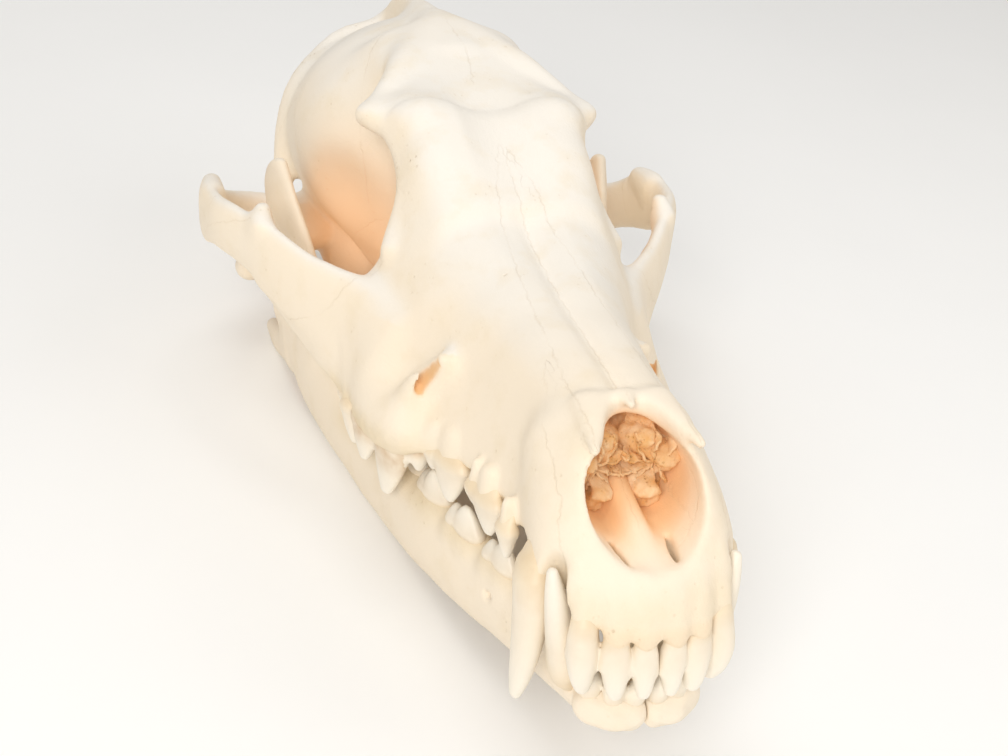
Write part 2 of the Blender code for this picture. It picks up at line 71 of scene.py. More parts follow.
# The skull as it rests: tilted nose down, then moved over the middle of the floor
REST_TILT = 11.0
REST_SHIFT = (0.0, -101.6, 42.0)
# Air between the halves of the lower jaw, and the hinge that both bones share
SEAM_GAP = 0.3
JAW_HINGE = ((26.8, 155.5, 5.2), (33, 155.0, 5.7), (40, 154.5, 6.2))
CONDYLE_RADIUS = 3.3
JOINT_GAP = 0.5
# The smoothing that takes the grid's steps out of a thinned mesh
SOFTEN_FACTOR = 0.5
SOFTEN_ROUNDS = 3
# The distance stored as a suture's where a piece has none
NO_SUTURE = 3.0

# Stations of the muzzle: Y, top of the midline, half width at the top and at the sockets, socket height
FACE = (
    (-3, 0.5, 5.0, 6.0, -3.0),
    (3, 4.5, 7.5, 10.5, -2.2),
    (8, 11.0, 8.0, 13.0, 1.5),
    (13, 19.0, 8.6, 14.1, 3.2),
    (18, 24.4, 8.9, 14.5, 2.6),
    (24, 26.4, 9.2, 14.5, 2.6),
    (34, 28.5, 9.0, 14.4, 2.6),
    (50, 31.0, 9.3, 17.2, 2.2),
    (64, 33.5, 11.0, 21.5, 1.6),
    (78, 37.5, 14.0, 27.0, 0.8),
    (90, 43.0, 16.5, 28.4, 0.4),
    (100, 48.0, 16.8, 27.5, 1.0),
    (108, 51.0, 17.5, 24.0, 2.0),
)

# Stations of the forehead, in the same columns
BROW = (
    (84, 40.0, 14.5, 9.0, 10.0),
    (96, 46.5, 16.5, 9.5, 10.0),
    (106, 51.5, 18.0, 10.0, 10.0),
    (113, 54.5, 19.5, 10.5, 10.0),
    (122, 57.5, 17.0, 11.5, 10.0),
    (132, 60.0, 15.5, 13.0, 10.0),
    (144, 61.5, 14.0, 15.0, 10.0),
)

# The hall of the nose and the slit in the cheek: X, Y, Z, half height, half thickness
NOSE_HALL = ((0, -4, 13, 7.0, 7.5), (0, 8, 14.4, 8.2, 9.2), (0, 20, 15.6, 8.6, 9.3), (0, 34, 16, 7, 6.5))
FACE_SLIT = ((20.2, 61.8, 18.0, 0.4, 3.0), (21.3, 64.0, 15.0, 0.85, 4.4), (22.4, 65.6, 12.2, 0.7, 3.6))
SLIT_ACROSS = (0.3, 1, 0)


class Crown(Enum):
    """The kinds of crown, with how wide each is at stations up its height.

    Each station is: share of the height, share of the width across, share of the length along.
    """

    INCISOR = ((0.0, 0.76, 0.6), (0.25, 0.88, 0.7), (0.55, 0.9, 0.92), (0.82, 0.72, 0.86), (1.0, 0.5, 0.6))
    CANINE = ((0.0, 0.98, 0.96), (0.25, 1.0, 0.98), (0.55, 0.84, 0.82), (0.82, 0.62, 0.58), (1.0, 0.36, 0.34))
    BLADE = ((0.0, 0.84, 0.9), (0.2, 1.0, 1.0), (0.5, 0.86, 0.82), (0.8, 0.6, 0.54), (1.0, 0.38, 0.3))
    MOLAR = ((0.0, 0.88, 0.9), (0.3, 1.0, 1.0), (0.7, 0.8, 0.78), (1.0, 0.45, 0.42))


@dataclass(frozen=True)
class Cusp:
    """One cusp of a tooth on the animal's left side, in millimetres.

    Attributes:
        tooth: the tooth that it belongs to.
        crown: its kind.
        neck: middle of the neck.
        tip: the tip.
        across: half width across the row.
        along: half width along the row.
        root: length of the root below the neck.
        turn: turn of the row outward, in degrees.
        bow: how far the middle of the cusp bows forward.
    """

    tooth: str
    crown: Crown
    neck: tuple[float, float, float]
    tip: tuple[float, float, float]
    across: float
    along: float
    root: float
    turn: float = 0.0
    bow: float = 0.0

    def aside(self) -> tuple[float, float, float]:
        """The level direction across the row."""
        spin = math.radians(self.turn)
        return math.cos(spin), math.sin(spin), 0.0


INC, CAN, BLA, MOL = Crown.INCISOR, Crown.CANINE, Crown.BLADE, Crown.MOLAR

# The way each kind's root goes from its neck, with Z away from the tip
ROOT_LEAN = {INC: (0, 0.62, 0.8), CAN: (-0.45, 0.45, 0.75), BLA: (-0.3, 0, 0.9), MOL: (-0.3, 0, 0.9)}

UPPER_CUSPS = (
    Cusp("first_incisor", INC, (2.4, 2.8, -2.6), (2.2, 1.9, -11.8), 2.15, 2.1, 5, 0),
    Cusp("second_incisor", INC, (6.8, 3.7, -2.4), (6.3, 3.1, -12.0), 2.5, 2.4, 5, 14),
    Cusp("third_incisor", INC, (11.0, 6.4, -0.6), (10.4, 6.2, -12.0), 2.7, 3.0, 5, 30, 0.9),
    Cusp("canine", CAN, (15.4, 17.7, 2.6), (16.3, 19.5, -21.4), 2.9, 4.2, 8, 0, 1.6),
    Cusp("first_premolar", BLA, (15.8, 31, 2.7), (15.5, 31, -3), 1.6, 2.5, 4, -5),
    Cusp("second_premolar", BLA, (15.9, 42, 2.7), (15.4, 41.6, -4.2), 1.9, 4.9, 4, -10),
    Cusp("second_premolar", BLA, (16.8, 46, 2.7), (16.6, 46.6, -0.8), 1.6, 2.0, 4, -12),
    Cusp("third_premolar", BLA, (18.2, 57, 2.7), (18.2, 56.7, -5.2), 2.1, 5.4, 4, -14),
    Cusp("third_premolar", BLA, (19.8, 62, 2.2), (19.8, 62.6, -1.8), 1.8, 2.3, 4, -16),
    Cusp("carnassial", BLA, (24.6, 73, 1.7), (25.6, 73.8, -11.3), 2.6, 6.0, 5, -16),
    Cusp("carnassial", BLA, (27.8, 81.5, 0.7), (28.3, 81.4, -7.8), 2.3, 4.9, 5, -14),
    Cusp("carnassial", MOL, (21.0, 67.5, 1.7), (21.2, 67.5, -4.0), 2.2, 2.4, 4, 0),
    Cusp("first_molar", BLA, (28.8, 89, 0.7), (28.5, 89, -7.8), 2.7, 3.6, 4, 0),
    Cusp("first_molar", BLA, (28.2, 95, 0.7), (28.0, 95, -6.8), 2.5, 3.2, 4, 10),
    Cusp("first_molar", MOL, (22.6, 92, 2.2), (22.4, 92, -3.6), 4.0, 4.0, 4, 15),
    Cusp("second_molar", MOL, (25.5, 101.5, 2.2), (25.4, 101.5, -3.6), 2.6, 3.0, 4, 15),
    Cusp("second_molar", MOL, (21.4, 102, 2.7), (21.2, 102, -2.2), 2.6, 2.6, 4, 15),
)

LOWER_CUSPS = (
    Cusp("first_incisor", INC, (1.9, 5.6, -16.6), (1.9, 4.3, -11.2), 1.5, 1.7, 4, 0),
    Cusp("second_incisor", INC, (5.2, 6.2, -16.4), (5.2, 5.0, -11.0), 1.6, 1.8, 4, 10),
    Cusp("third_incisor", INC, (8.3, 8.2, -16.0), (8.4, 7.6, -10.8), 1.7, 2.0, 4, 24),
    Cusp("canine", CAN, (10.4, 13.4, -14.0), (15.0, 10.8, 5.0), 2.7, 3.5, 7, 15, 1.2),
    Cusp("first_premolar", BLA, (11.0, 29, -11.5), (11.3, 29, -8.0), 1.5, 2.0, 4, -5),
    Cusp("second_premolar", BLA, (12.4, 40.5, -11), (12.7, 40, -6.6), 1.7, 3.9, 4, -10),
    Cusp("second_premolar", BLA, (13.4, 44.5, -11), (13.5, 44.4, -8.0), 1.6, 2.1, 4, -10),
    Cusp("third_premolar", BLA, (15.4, 52.5, -10.5), (16.2, 51.8, -5.4), 1.9, 4.3, 4, -14),
    Cusp("third_premolar", BLA, (16.4, 57, -10.5), (16.6, 57, -7.2), 1.8, 2.3, 4, -14),
    Cusp("fourth_premolar", BLA, (17.6, 65.5, -10), (18.6, 65.3, -4.6), 2.1, 4.4, 4, -16),
    Cusp("fourth_premolar", BLA, (18.2, 70, -10), (18.6, 70, -6.6), 2.0, 2.5, 4, -16),
    Cusp("carnassial", BLA, (18.4, 75.5, -9.5), (18.6, 76, -3.4), 2.1, 3.8, 5, -12),
    Cusp("carnassial", BLA, (19.6, 81.5, -9.5), (19.8, 82, -2.2), 2.3, 4.4, 5, -12),
    Cusp("carnassial", MOL, (21.2, 88, -8.5), (21.2, 88, -5.0), 2.8, 3.6, 5, -10),
    Cusp("second_molar", MOL, (22.6, 95.5, -8), (22.6, 95.5, -5.0), 2.6, 3.8, 4, -8),
    Cusp("third_molar", MOL, (24.2, 102.5, -6), (24.2, 102.5, -3.6), 2.0, 2.2, 4, -8),
)


def curve(table: Rows, column: int, at: Array) -> Array:
    """Reads one column of a table of stations as a smooth curve.

    Args:
        table: rows that start with their station.
        column: the column to read.
        at: the stations to read it at.

    Returns:
        The values of the curve.
    """
    rows = np.array(table, float)
    station, value = rows[:, 0], rows[:, column]
    slope = np.gradient(value, station)
    i = np.clip(np.searchsorted(station, at) - 1, 0, len(station) - 2)
    length = station[i + 1] - station[i]
    t = np.clip((at - station[i]) / length, 0, 1)
    return (
        value[i] * (2 * t**3 - 3 * t**2 + 1)
        + value[i + 1] * (3 * t**2 - 2 * t**3)
        + slope[i] * length * (t**3 - 2 * t**2 + t)
        + slope[i + 1] * length * (t**3 - t**2)
    )


def smooth_min(a: Array, b: Array, blend: float) -> Array:
    """The union of two fields, with a fillet about as wide as blend."""
    near = np.maximum(blend - np.abs(a - b), 0)
    return np.minimum(a, b) - near * near / (4 * blend)


def smooth_max(a: Array, b: Array, blend: float) -> Array:
    """What two fields share, with its edge rounded about as wide as blend."""
    return -smooth_min(-a, -b, blend)


def smoothstep(low: float, high: float, value: Array) -> Array:
    """Goes smoothly from 0 at low to 1 at high, whichever of the two is greater."""
    t = np.clip((value - low) / (high - low), 0, 1)
    return t * t * (3 - 2 * t)


def bump(at: Array, centre: float, half_width: float) -> Array:
    """A smooth hump of height 1 at centre that ends half_width to each side."""
    return smoothstep(0, 1, 1 - np.abs((at - centre) / half_width))


def ripple(x: Array, y: Array, z: Array, length: float, seed: int) -> Array:
    """Smooth unevenness between about -1 and 1.

    Args:
        x: positions in millimetres.
        y: positions in millimetres.
        z: positions in millimetres.
        length: the usual wavelength in millimetres.
        seed: fixes the pattern.

    Returns:
        The unevenness at each position.
    """
    draw = np.random.default_rng(seed)
    total = 0.0
    for _ in range(5):
        way = draw.normal(size=3)
        way *= math.tau / (length * draw.uniform(0.7, 1.5) * np.linalg.norm(way))
        total = total + np.sin(x * way[0] + y * way[1] + z * way[2] + draw.uniform(0, math.tau))
    return total / 3.0


@dataclass(frozen=True)
class Solid:
    """A function of distance and the corners of the box that holds its inside."""

    low: Array
    high: Array
    distance: Distance


def ellipsoid(
    centre: Sequence[float],
    radii: Sequence[float],
    turn_x: float = 0.0,
    turn_y: float = 0.0,
    turn_z: float = 0.0,
) -> Solid:
    """An ellipsoid, turned in degrees about X, then Y, then Z.

    Args:
        centre: its middle.
        radii: its half lengths.
        turn_x: degrees about X.
        turn_y: degrees about Y.
        turn_z: degrees about Z.

    Returns:
        The solid.
    """
    turn = (
        Matrix.Rotation(math.radians(turn_z), 3, "Z")
        @ Matrix.Rotation(math.radians(turn_y), 3, "Y")
        @ Matrix.Rotation(math.radians(turn_x), 3, "X")
    )
    axes = np.array(turn).T
    reach = np.sqrt(((axes * np.array(radii)[:, None]) ** 2).sum(axis=0))

    def distance(x: Array, y: Array, z: Array) -> Array:
        """Distance to the surface, below zero inside."""
        first, second = 0.0, 0.0
        for axis, radius in zip(axes, radii):
            along = (x - centre[0]) * axis[0] + (y - centre[1]) * axis[1] + (z - centre[2]) * axis[2]
            first = first + (along / radius) ** 2
            second = second + (along / radius**2) ** 2
        first, second = np.sqrt(first), np.sqrt(second) + TINY
        return first * (first - 1) / second

    return Solid(np.array(centre) - reach, np.array(centre) + reach, distance)


def sweep(*points: Sequence[float], pieces: int = 4, across: Sequence[float] | None = None) -> Solid:
    """A bar along points of (x, y, z, half height, half thickness).

    Args:
        points: the stations of the bar.
        pieces: straight pieces between two stations.
        across: the way its thickness lies, which is otherwise level.

    Returns:
        The solid.
    """
    rows = np.array(points, float)
    if len(points) > 2:
        table = np.column_stack([np.arange(len(rows)), rows])
        at = np.linspace(0, len(rows) - 1, (len(rows) - 1) * pieces + 1)
        rows = np.column_stack([curve(table, column, at) for column in range(1, 6)])
    reach = rows[:, 3:5].max(axis=1)[:, None]

    def distance(x: Array, y: Array, z: Array) -> Array:
        """Distance to the surface, below zero inside."""
        nearest = np.float32(BEYOND)
        for start, end in zip(rows[:-1], rows[1:]):
            step = end[:3] - start[:3]
            length = np.linalg.norm(step)
            ahead = step / length
            side = np.array([ahead[1], -ahead[0], 0.0]) if across is None else np.array(across, float)
            side = side - ahead * (side @ ahead)
            side = side / np.linalg.norm(side)
            up = np.cross(side, ahead)
            px, py, pz = x - start[0], y - start[1], z - start[2]
            along = px * ahead[0] + py * ahead[1] + pz * ahead[2]
            share = np.clip(along / length, 0, 1)
            height = start[3] + share * (end[3] - start[3])
            thickness = start[4] + share * (end[4] - start[4])
            cap = np.minimum(height, thickness)
            out = (along - share * length) / cap
            level = (px * side[0] + py * side[1] + pz * side[2]) / thickness
            rise = (px * up[0] + py * up[1] + pz * up[2]) / height
            first = np.sqrt(out**2 + level**2 + rise**2)
            second = np.sqrt((out / cap) ** 2 + (level / thickness) ** 2 + (rise / height) ** 2)
            nearest = np.minimum(nearest, first * (first - 1) / (second + TINY))
        return nearest

    return Solid((rows[:, :3] - reach).min(axis=0), (rows[:, :3] + reach).max(axis=0), distance)


# The tapered block: the scale that keeps its sloping sides true to distance, how far its sides go on
# above the top, its fillets along the shoulders and elsewhere, and the room left for its crown
SLOPE_SCALE = 0.9
RISE_LIMIT = 1.3
SHOULDER_BLEND = 7.0
EDGE_BLEND = 3.0
CROWN_ROOM = 4


def tapered(
    table: Rows,
    first: float,
    last: float,
    power: float,
    crown: Callable[[Array, Array], Array],
    lean: float = 0.0,
    bow: float = 0.0,
) -> Solid:
    """A block whose top, floor and half widths follow a table along Y.

    Args:
        table: the stations.
        first: front end.
        last: rear end.
        power: how full the sides are.
        crown: height over the midline, from half width and station.
        lean: how far the front leans back with height.
        bow: how far the front bows back to each side.

    Returns:
        The solid.
    """

    def distance(x: Array, y: Array, z: Array) -> Array:
        """Distance to the surface, below zero inside."""
        top, floor = curve(table, 1, y), curve(table, 4, y)
        high = np.clip((z - floor) / (top - floor), 0, RISE_LIMIT)
        upper, lower = curve(table, 2, y), curve(table, 3, y)
        side = (np.abs(x) - lower - (upper - lower) * high**power) * SLOPE_SCALE
        roof = (z - top - crown(np.abs(x), y)) * SLOPE_SCALE
        ends = np.maximum(first + lean * (z - floor) + bow * x * x - y, y - last)
        block = smooth_max(smooth_max(side, roof, SHOULDER_BLEND), floor - z, EDGE_BLEND)
        return smooth_max(block, ends, EDGE_BLEND)

    rows = np.array(table, float)
    wide = rows[:, 2:4].max()
    low = np.array((-wide, first, rows[:, 4].min()))
    return Solid(low, np.array((wide, last, rows[:, 1].max() + CROWN_ROOM)), distance)


class Field:
    """Distances to a surface on a grid of points, in millimetres, below zero inside."""

    def __init__(self, low: Sequence[float], high: Sequence[float], step: float) -> None:
        """Starts empty.

        Args:
            low: lowest corner.
            high: highest corner.
            step: spacing of the grid.
        """
        self.step = step
        self.axes = [np.arange(a, b, step) for a, b in zip(low, high)]
        self.values = np.full([len(axis) for axis in self.axes], FAR, np.float32)

    def _near(self, solid: Solid, margin: float) -> tuple[tuple[slice, ...], Array]:
        """The part of the grid near a solid, and the distances there."""
        cuts = tuple(
            slice(*np.searchsorted(axis, (low - margin, high + margin)))
            for axis, low, high in zip(self.axes, solid.low, solid.high)
        )
        return cuts, solid.distance(*np.ix_(*(axis[cut] for axis, cut in zip(self.axes, cuts))))

    def add(self, solid: Solid, blend: float = 3.0) -> None:
        """Joins a solid."""
        cuts, distance = self._near(solid, blend + NEAR_MARGIN)
        self.values[cuts] = smooth_min(self.values[cuts], distance, blend)

    def cut(self, solid: Solid, blend: float = 2.0) -> None:
        """Takes a solid out."""
        cuts, distance = self._near(solid, blend + NEAR_MARGIN)
        self.values[cuts] = smooth_max(self.values[cuts], -distance, blend)

    def shift(self, depth: Distance) -> None:
        """Moves the surface outward by a function of place."""
        grid = np.ix_(*self.axes)
        self.values -= depth(*grid).astype(np.float32)

    def mesh(self, name: str, triangles: int, mirrored: bool, whole: bool = True) -> bpy.types.Mesh:
        """Makes the surface, in the anatomical frame.

        Args:
            name: the mesh's name.
            triangles: the most triangles that it keeps.
            mirrored: whether the grid is the left half of a symmetric thing.
            whole: whether loose bits are dropped.

        Returns:
            A smooth-shaded mesh of triangles.
        """
        values, low = self.values, np.array([axis[0] for axis in self.axes])
        if mirrored:
            values = np.concatenate([values[:0:-1], values])
            low[0] = -self.axes[0][-1]
        grid = openvdb.FloatGrid(FAR)
        grid.copyFromArray(np.ascontiguousarray(values, np.float32))
        points, threes, fours = grid.convertToPolygons(isovalue=0.0, adaptivity=0.0)
        mesh = bpy.data.meshes.new(name)
        mesh.from_pydata(points * self.step + low, [], [*threes.tolist(), *fours.tolist()])
        solid = bmesh.new()
        solid.from_mesh(mesh)
        bmesh.ops.triangulate(solid, faces=solid.faces)
        if solid.calc_volume(signed=True) < 0:
            bmesh.ops.reverse_faces(solid, faces=solid.faces)
        count = len(solid.faces)
        solid.to_mesh(mesh)
        solid.free()
        mesh = thinned(mesh, min(1.0, triangles / count))
        if whole:
            keep_largest(mesh)
        mesh.shade_smooth()
        log.info("%s: %d of %d triangles", name, len(mesh.polygons), count)
        return mesh


def thinned(mesh: bpy.types.Mesh, ratio: float) -> bpy.types.Mesh:
    """A copy of a mesh with this share of its faces, slightly smoothed."""
    obj = bpy.data.objects.new("thinning", mesh)
    bpy.context.scene.collection.objects.link(obj)
    reduce = obj.modifiers.new("Fewer faces", "DECIMATE")
    reduce.ratio = ratio
    soften = obj.modifiers.new("Softer", "SMOOTH")
    soften.factor = SOFTEN_FACTOR
    soften.iterations = SOFTEN_ROUNDS
    made = bpy.data.meshes.new_from_object(obj.evaluated_get(bpy.context.evaluated_depsgraph_get()))
    bpy.data.objects.remove(obj)
    return made


def keep_largest(mesh: bpy.types.Mesh) -> None:
    """Drops every closed surface of a mesh but the one with the most faces."""
    solid = bmesh.new()
    solid.from_mesh(mesh)
    solid.faces.ensure_lookup_table()
    seen = np.zeros(len(solid.faces), bool)
    islands = []
    for seed in solid.faces:
        if seen[seed.index]:
            continue
        seen[seed.index] = True
        island, edge = [seed], [seed]
        while edge:
            for loop in edge.pop().loops:
                other = loop.link_loop_radial_next.face
                if not seen[other.index]:
                    seen[other.index] = True
                    island.append(other)
                    edge.append(other)
        islands.append(island)
    islands.sort(key=len)
    loose = [face for island in islands[:-1] for face in island]
    bmesh.ops.delete(solid, geom=loose, context="FACES")
    solid.to_mesh(mesh)
    solid.free()


def placement() -> Matrix:
    """From the anatomical frame in millimetres to the resting skull in metres."""
    tilt = Matrix.Rotation(math.radians(-REST_TILT), 4, "X")
    return Matrix.Scale(MM, 4) @ Matrix.Translation(REST_SHIFT) @ tilt


def mirror(mesh: bpy.types.Mesh, name: str) -> bpy.types.Mesh:
    """The other side's mesh, facing outward."""
    other = mesh.copy()
    other.name = name
    other.transform(Matrix.Scale(-1, 4, (1, 0, 0)))
    other.flip_normals()
    return other


def at_vertices(mesh: bpy.types.Mesh, what: str = "co") -> Array:
    """The positions of a mesh's vertices, or their normals, one row each."""
    flat = np.empty(len(mesh.vertices) * 3, np.float32)
    mesh.vertices.foreach_get(what, flat)
    return flat.reshape(-1, 3)


def mark(mesh: bpy.types.Mesh, name: str, values: Array) -> None:
    """Stores one number a vertex under a name that materials read."""
    layer = mesh.attributes.new(name, "FLOAT", "POINT")
    layer.data.foreach_set("value", np.ascontiguousarray(values, np.float32))


class Wire:
    """A shader socket that arithmetic can be written on."""

    def __init__(self, graph: Graph, socket: bpy.types.NodeSocket) -> None:
        """Wraps an output socket of a graph."""
        self.graph = graph
        self.socket = socket

    def _math(self, operation: str, *values: Any) -> Wire:
        """Adds one Math node."""
        return self.graph.node("ShaderNodeMath", {"operation": operation}, *values)

    def __add__(self, other: Wire | float) -> Wire:
        """Sum."""
        return self._math("ADD", self, other)

    def __radd__(self, other: float) -> Wire:
        """Sum, reflected."""
        return self._math("ADD", other, self)

    def __sub__(self, other: Wire | float) -> Wire:
        """Difference."""
        return self._math("SUBTRACT", self, other)

    def __rsub__(self, other: float) -> Wire:
        """Difference, reflected."""
        return self._math("SUBTRACT", other, self)

    def __mul__(self, other: Wire | float) -> Wire:
        """Product."""
        return self._math("MULTIPLY", self, other)

    def __rmul__(self, other: float) -> Wire:
        """Product, reflected."""
        return self._math("MULTIPLY", other, self)

    def __truediv__(self, other: Wire | float) -> Wire:
        """Quotient."""
        return self._math("DIVIDE", self, other)

    def __abs__(self) -> Wire:
        """Size without sign."""
        return self._math("ABSOLUTE", self)

    def clamped(self) -> Wire:
        """The value kept between 0 and 1."""
        return self._math("MINIMUM", self._math("MAXIMUM", self, 0.0), 1.0)

    def between(self, low: float, high: float) -> Wire:
        """Rises from 0 at low to 1 at high."""
        return ((self - low) / (high - low)).clamped()


class Graph:
    """Builds the node tree of one material."""

    def __init__(self, name: str) -> None:
        """Starts a material with its Principled shader.

        Args:
            name: the material's name.
        """
        self.material = bpy.data.materials.new(name)
        self.material.use_nodes = True
        self.tree = self.material.node_tree
        self.shader = self.tree.nodes["Principled BSDF"]

    def node(
        self,
        kind: str,
        settings: dict[str, Any] | None = None,
        *values: Any,
        out: str | int = 0,
        **named: Any,
    ) -> Wire:
        """Adds a node.

        Args:
            kind: the node's type.
            settings: properties that are set before its inputs.
            values: values or links of its first inputs, in order.
            out: name or number of the output that is returned.
            named: values or links of inputs by name, with _ for a space.

        Returns:
            The wanted output.
        """
        made = self.tree.nodes.new(kind)
        for key, value in (settings or {}).items():
            setattr(made, key, value)
        spaced = {key.replace("_", " "): value for key, value in named.items()}
        for key, value in [*enumerate(values), *spaced.items()]:
            self.feed(made.inputs[key], value)
        return Wire(self, made.outputs[out])

    def feed(self, socket: bpy.types.NodeSocket, value: Any) -> None:
        """Links or sets an input."""
        if isinstance(value, Wire):
            self.tree.links.new(value.socket, socket)
        else:
            socket.default_value = value

    def places(self) -> Wire:
        """Positions on the piece in millimetres."""
        at = self.node("ShaderNodeTexCoord", out="Object")
        return self.node("ShaderNodeVectorMath", {"operation": "SCALE"}, at, Scale=1 / MM)

    def noise(self, at: Wire, size: float, detail: float = 3.0, rough: float = 0.55) -> Wire:
        """Cloudy noise between 0 and 1 with forms of this size in millimetres."""
        return self.node("ShaderNodeTexNoise", Vector=at, Scale=1 / size, Detail=detail, Roughness=rough)

    def streaks(self, at: Wire, stretch: Sequence[float], size: float) -> Wire:
        """Noise that is drawn out along the axes whose share in stretch is small."""
        drawn = self.node("ShaderNodeVectorMath", {"operation": "MULTIPLY"}, at, stretch)
        return self.noise(drawn, size, 3.0)

    def pits(self, at: Wire, scale: float, low: float, high: float) -> Wire:
        """1 at the middle of scattered cells and 0 further out, with scale cells a millimetre."""
        apart = self.node("ShaderNodeTexVoronoi", Vector=at, Scale=scale, Randomness=1.0, out="Distance")
        return 1 - apart.between(low, high)

    def mark(self, name: str) -> Wire:
        """A number stored on the vertices."""
        return self.node("ShaderNodeAttribute", {"attribute_name": name}, out="Fac")

    def mix(self, share: Wire | float, low: Any, high: Any) -> Wire:
        """Blends two colours, with share as how much of the second one there is."""
        made = self.tree.nodes.new("ShaderNodeMix")
        made.data_type = "RGBA"
        for index, value in ((0, share), (6, low), (7, high)):
            self.feed(made.inputs[index], value)
        return Wire(self, made.outputs[2])

    def finish(
        self, colour: Wire, rough: Wire, height: Wire, depth: float, **constants: float
    ) -> bpy.types.Material:
        """Connects the shader.

        Args:
            colour: base colour.
            rough: roughness.
            height: relief between about 0 and 1.
            depth: how deep a relief of 1 is, in millimetres.
            constants: numbers of other sockets by name, with _ for a space.

        Returns:
            The material.
        """
        relief = self.node("ShaderNodeBump", Strength=1.0, Distance=depth * MM, Height=height)
        self.feed(self.shader.inputs["Base Color"], colour)
        self.feed(self.shader.inputs["Roughness"], rough)
        self.feed(self.shader.inputs["Normal"], relief)
        for key, value in constants.items():
            self.shader.inputs[key.replace("_", " ")].default_value = value
        return self.material


Colour = tuple[float, float, float, float]
BLACK: Colour = (0, 0, 0, 1)


@dataclass(frozen=True)
class BoneFinish:
    """Bleached bone: ivory, with painted paler light on what faces up and painted warm shade in hollows, with
    sutures, grain and pores.

    Attributes:
        name: the material's name.
        ivory: colour of most of the bone.
        bleached: paler, cooler colour painted on what faces up, as painted light from above.
        hollow_shade_peach: painted warm shade in the hollows, standing in for light bounced inside them and
            passed through the bone.
        deep_shade_amber: deeper painted shade at the back of the hollows.
        glow: colour of the light that comes through thin bone.
        stain: colour in sutures and pores.
        grease: colour of the yellowed patches and the gum edge.
        suture_width: half width of a suture, in millimetres.
        relief: depth of the relief, in millimetres.
        shine_through: strength of the light that comes through thin bone.
    """

    name: str
    ivory: Colour = (0.90, 0.785, 0.625, 1)
    bleached: Colour = (0.87, 0.83, 0.765, 1)
    hollow_shade_peach: Colour = (0.91, 0.70, 0.49, 1)
    deep_shade_amber: Colour = (0.80, 0.45, 0.18, 1)
    glow: Colour = (1.0, 0.46, 0.18, 1)
    stain: Colour = (0.62, 0.44, 0.24, 1)
    grease: Colour = (0.80, 0.66, 0.44, 1)
    suture_width: float = 0.24
    relief: float = 0.16
    shine_through: float = 0.3

    def build(self) -> bpy.types.Material:
        """Makes the material."""
        g = Graph(self.name)
        at = g.places()
        cloud = g.noise(at, 22.0, 4.0)
        patch = g.noise(at, 7.0, 3.0)
        grain = g.streaks(at, (1.0, 0.22, 1.0), 0.9)
        fine = g.noise(at, 0.55, 3.0, 0.65)
        speck = g.pits(at, 0.62, 0.05, 0.2)
        rough_spots = g.mark("rough")
        pore = speck * (patch.between(0.52, 0.66) * 0.5 + rough_spots).clamped()
        wander = (g.noise(at, 2.6, 4.0, 0.6) - 0.5) * 2.0
        line = (1 - abs(g.mark("suture") + wander) / self.suture_width).clamped()
        seam = line * g.mark("suture_near") * patch.between(0.3, 0.55)
        painted_hollow_shade = g.mark("painted_hollow_shade")
        # Painted light: what faces up is painted paler and cooler, mixed with random cloudy tone
        pale = (g.mark("painted_top_light") * 0.85 + cloud * 0.5 - 0.22).clamped()
        colour = g.mix(pale, self.ivory, self.bleached)
        colour = g.mix(patch.between(0.5, 0.78) * 0.3, colour, self.grease)
        # Painted shade: the hollows are painted warm peach, then amber at the back, in place of their shade
        # and the light bounced and passed through the bone
        colour = g.mix((painted_hollow_shade * 1.6).clamped() * 0.85, colour, self.hollow_shade_peach)
        colour = g.mix(painted_hollow_shade.between(0.55, 1.0) * 0.8, colour, self.deep_shade_amber)
        colour = g.mix(g.mark("gum") * (0.35 + patch * 0.5), colour, self.grease)
        colour = g.mix(seam * 0.15, colour, self.stain)
        colour = g.mix(pore * 0.42, colour, self.stain)
        rough = 0.44 + 0.2 * fine + 0.12 * cloud + 0.1 * rough_spots
        height = grain * 0.3 + fine * 0.35 + patch * 0.5 - seam * 0.4 - pore * 1.1
        height = height + rough_spots * g.noise(at, 1.3, 4.0) * 1.6
        g.feed(g.shader.inputs["Emission Color"], g.mix(g.mark("glow"), BLACK, self.glow))
        return g.finish(
            colour, rough, height, self.relief, Emission_Strength=self.shine_through, Specular_IOR_Level=0.42
        )


@dataclass(frozen=True)
class EnamelFinish:
    """Satin enamel: cream, with yellow necks and a brown stain on the carnassials."""

    name: str
    cream: Colour = (0.88, 0.785, 0.64, 1)
    white: Colour = (0.9, 0.84, 0.73, 1)
    neck: Colour = (0.80, 0.63, 0.40, 1)
    brown: Colour = (0.52, 0.30, 0.10, 1)
    relief: float = 0.02
    coat: float = 0.12

    def build(self) -> bpy.types.Material:
        """Makes the material."""
        g = Graph(self.name)
        at = g.places()
        cloud = g.noise(at, 5.0, 3.0)
        streak = g.streaks(at, (1.0, 1.0, 0.16), 0.7)
        fine = g.noise(at, 0.5, 2.0)
        height_share = g.mark("height")
        colour = g.mix(height_share.between(0.35, 1.0) * (0.6 + cloud * 0.4), self.cream, self.white)
        colour = g.mix((1 - height_share.between(-0.02, 0.26)) * (0.35 + 0.5 * cloud), colour, self.neck)
        colour = g.mix(g.mark("stain") * cloud.between(0.3, 0.7), colour, self.brown)
        rough = 0.34 + 0.1 * cloud + 0.06 * fine + 0.08 * (1 - height_share.between(0.0, 0.2))
        height = streak * 0.2 + cloud * 0.3
        return g.finish(
            colour,
            rough,
            height,
            self.relief,
            Coat_Weight=self.coat,
            Coat_Roughness=0.3,
            Specular_IOR_Level=0.45,
        )


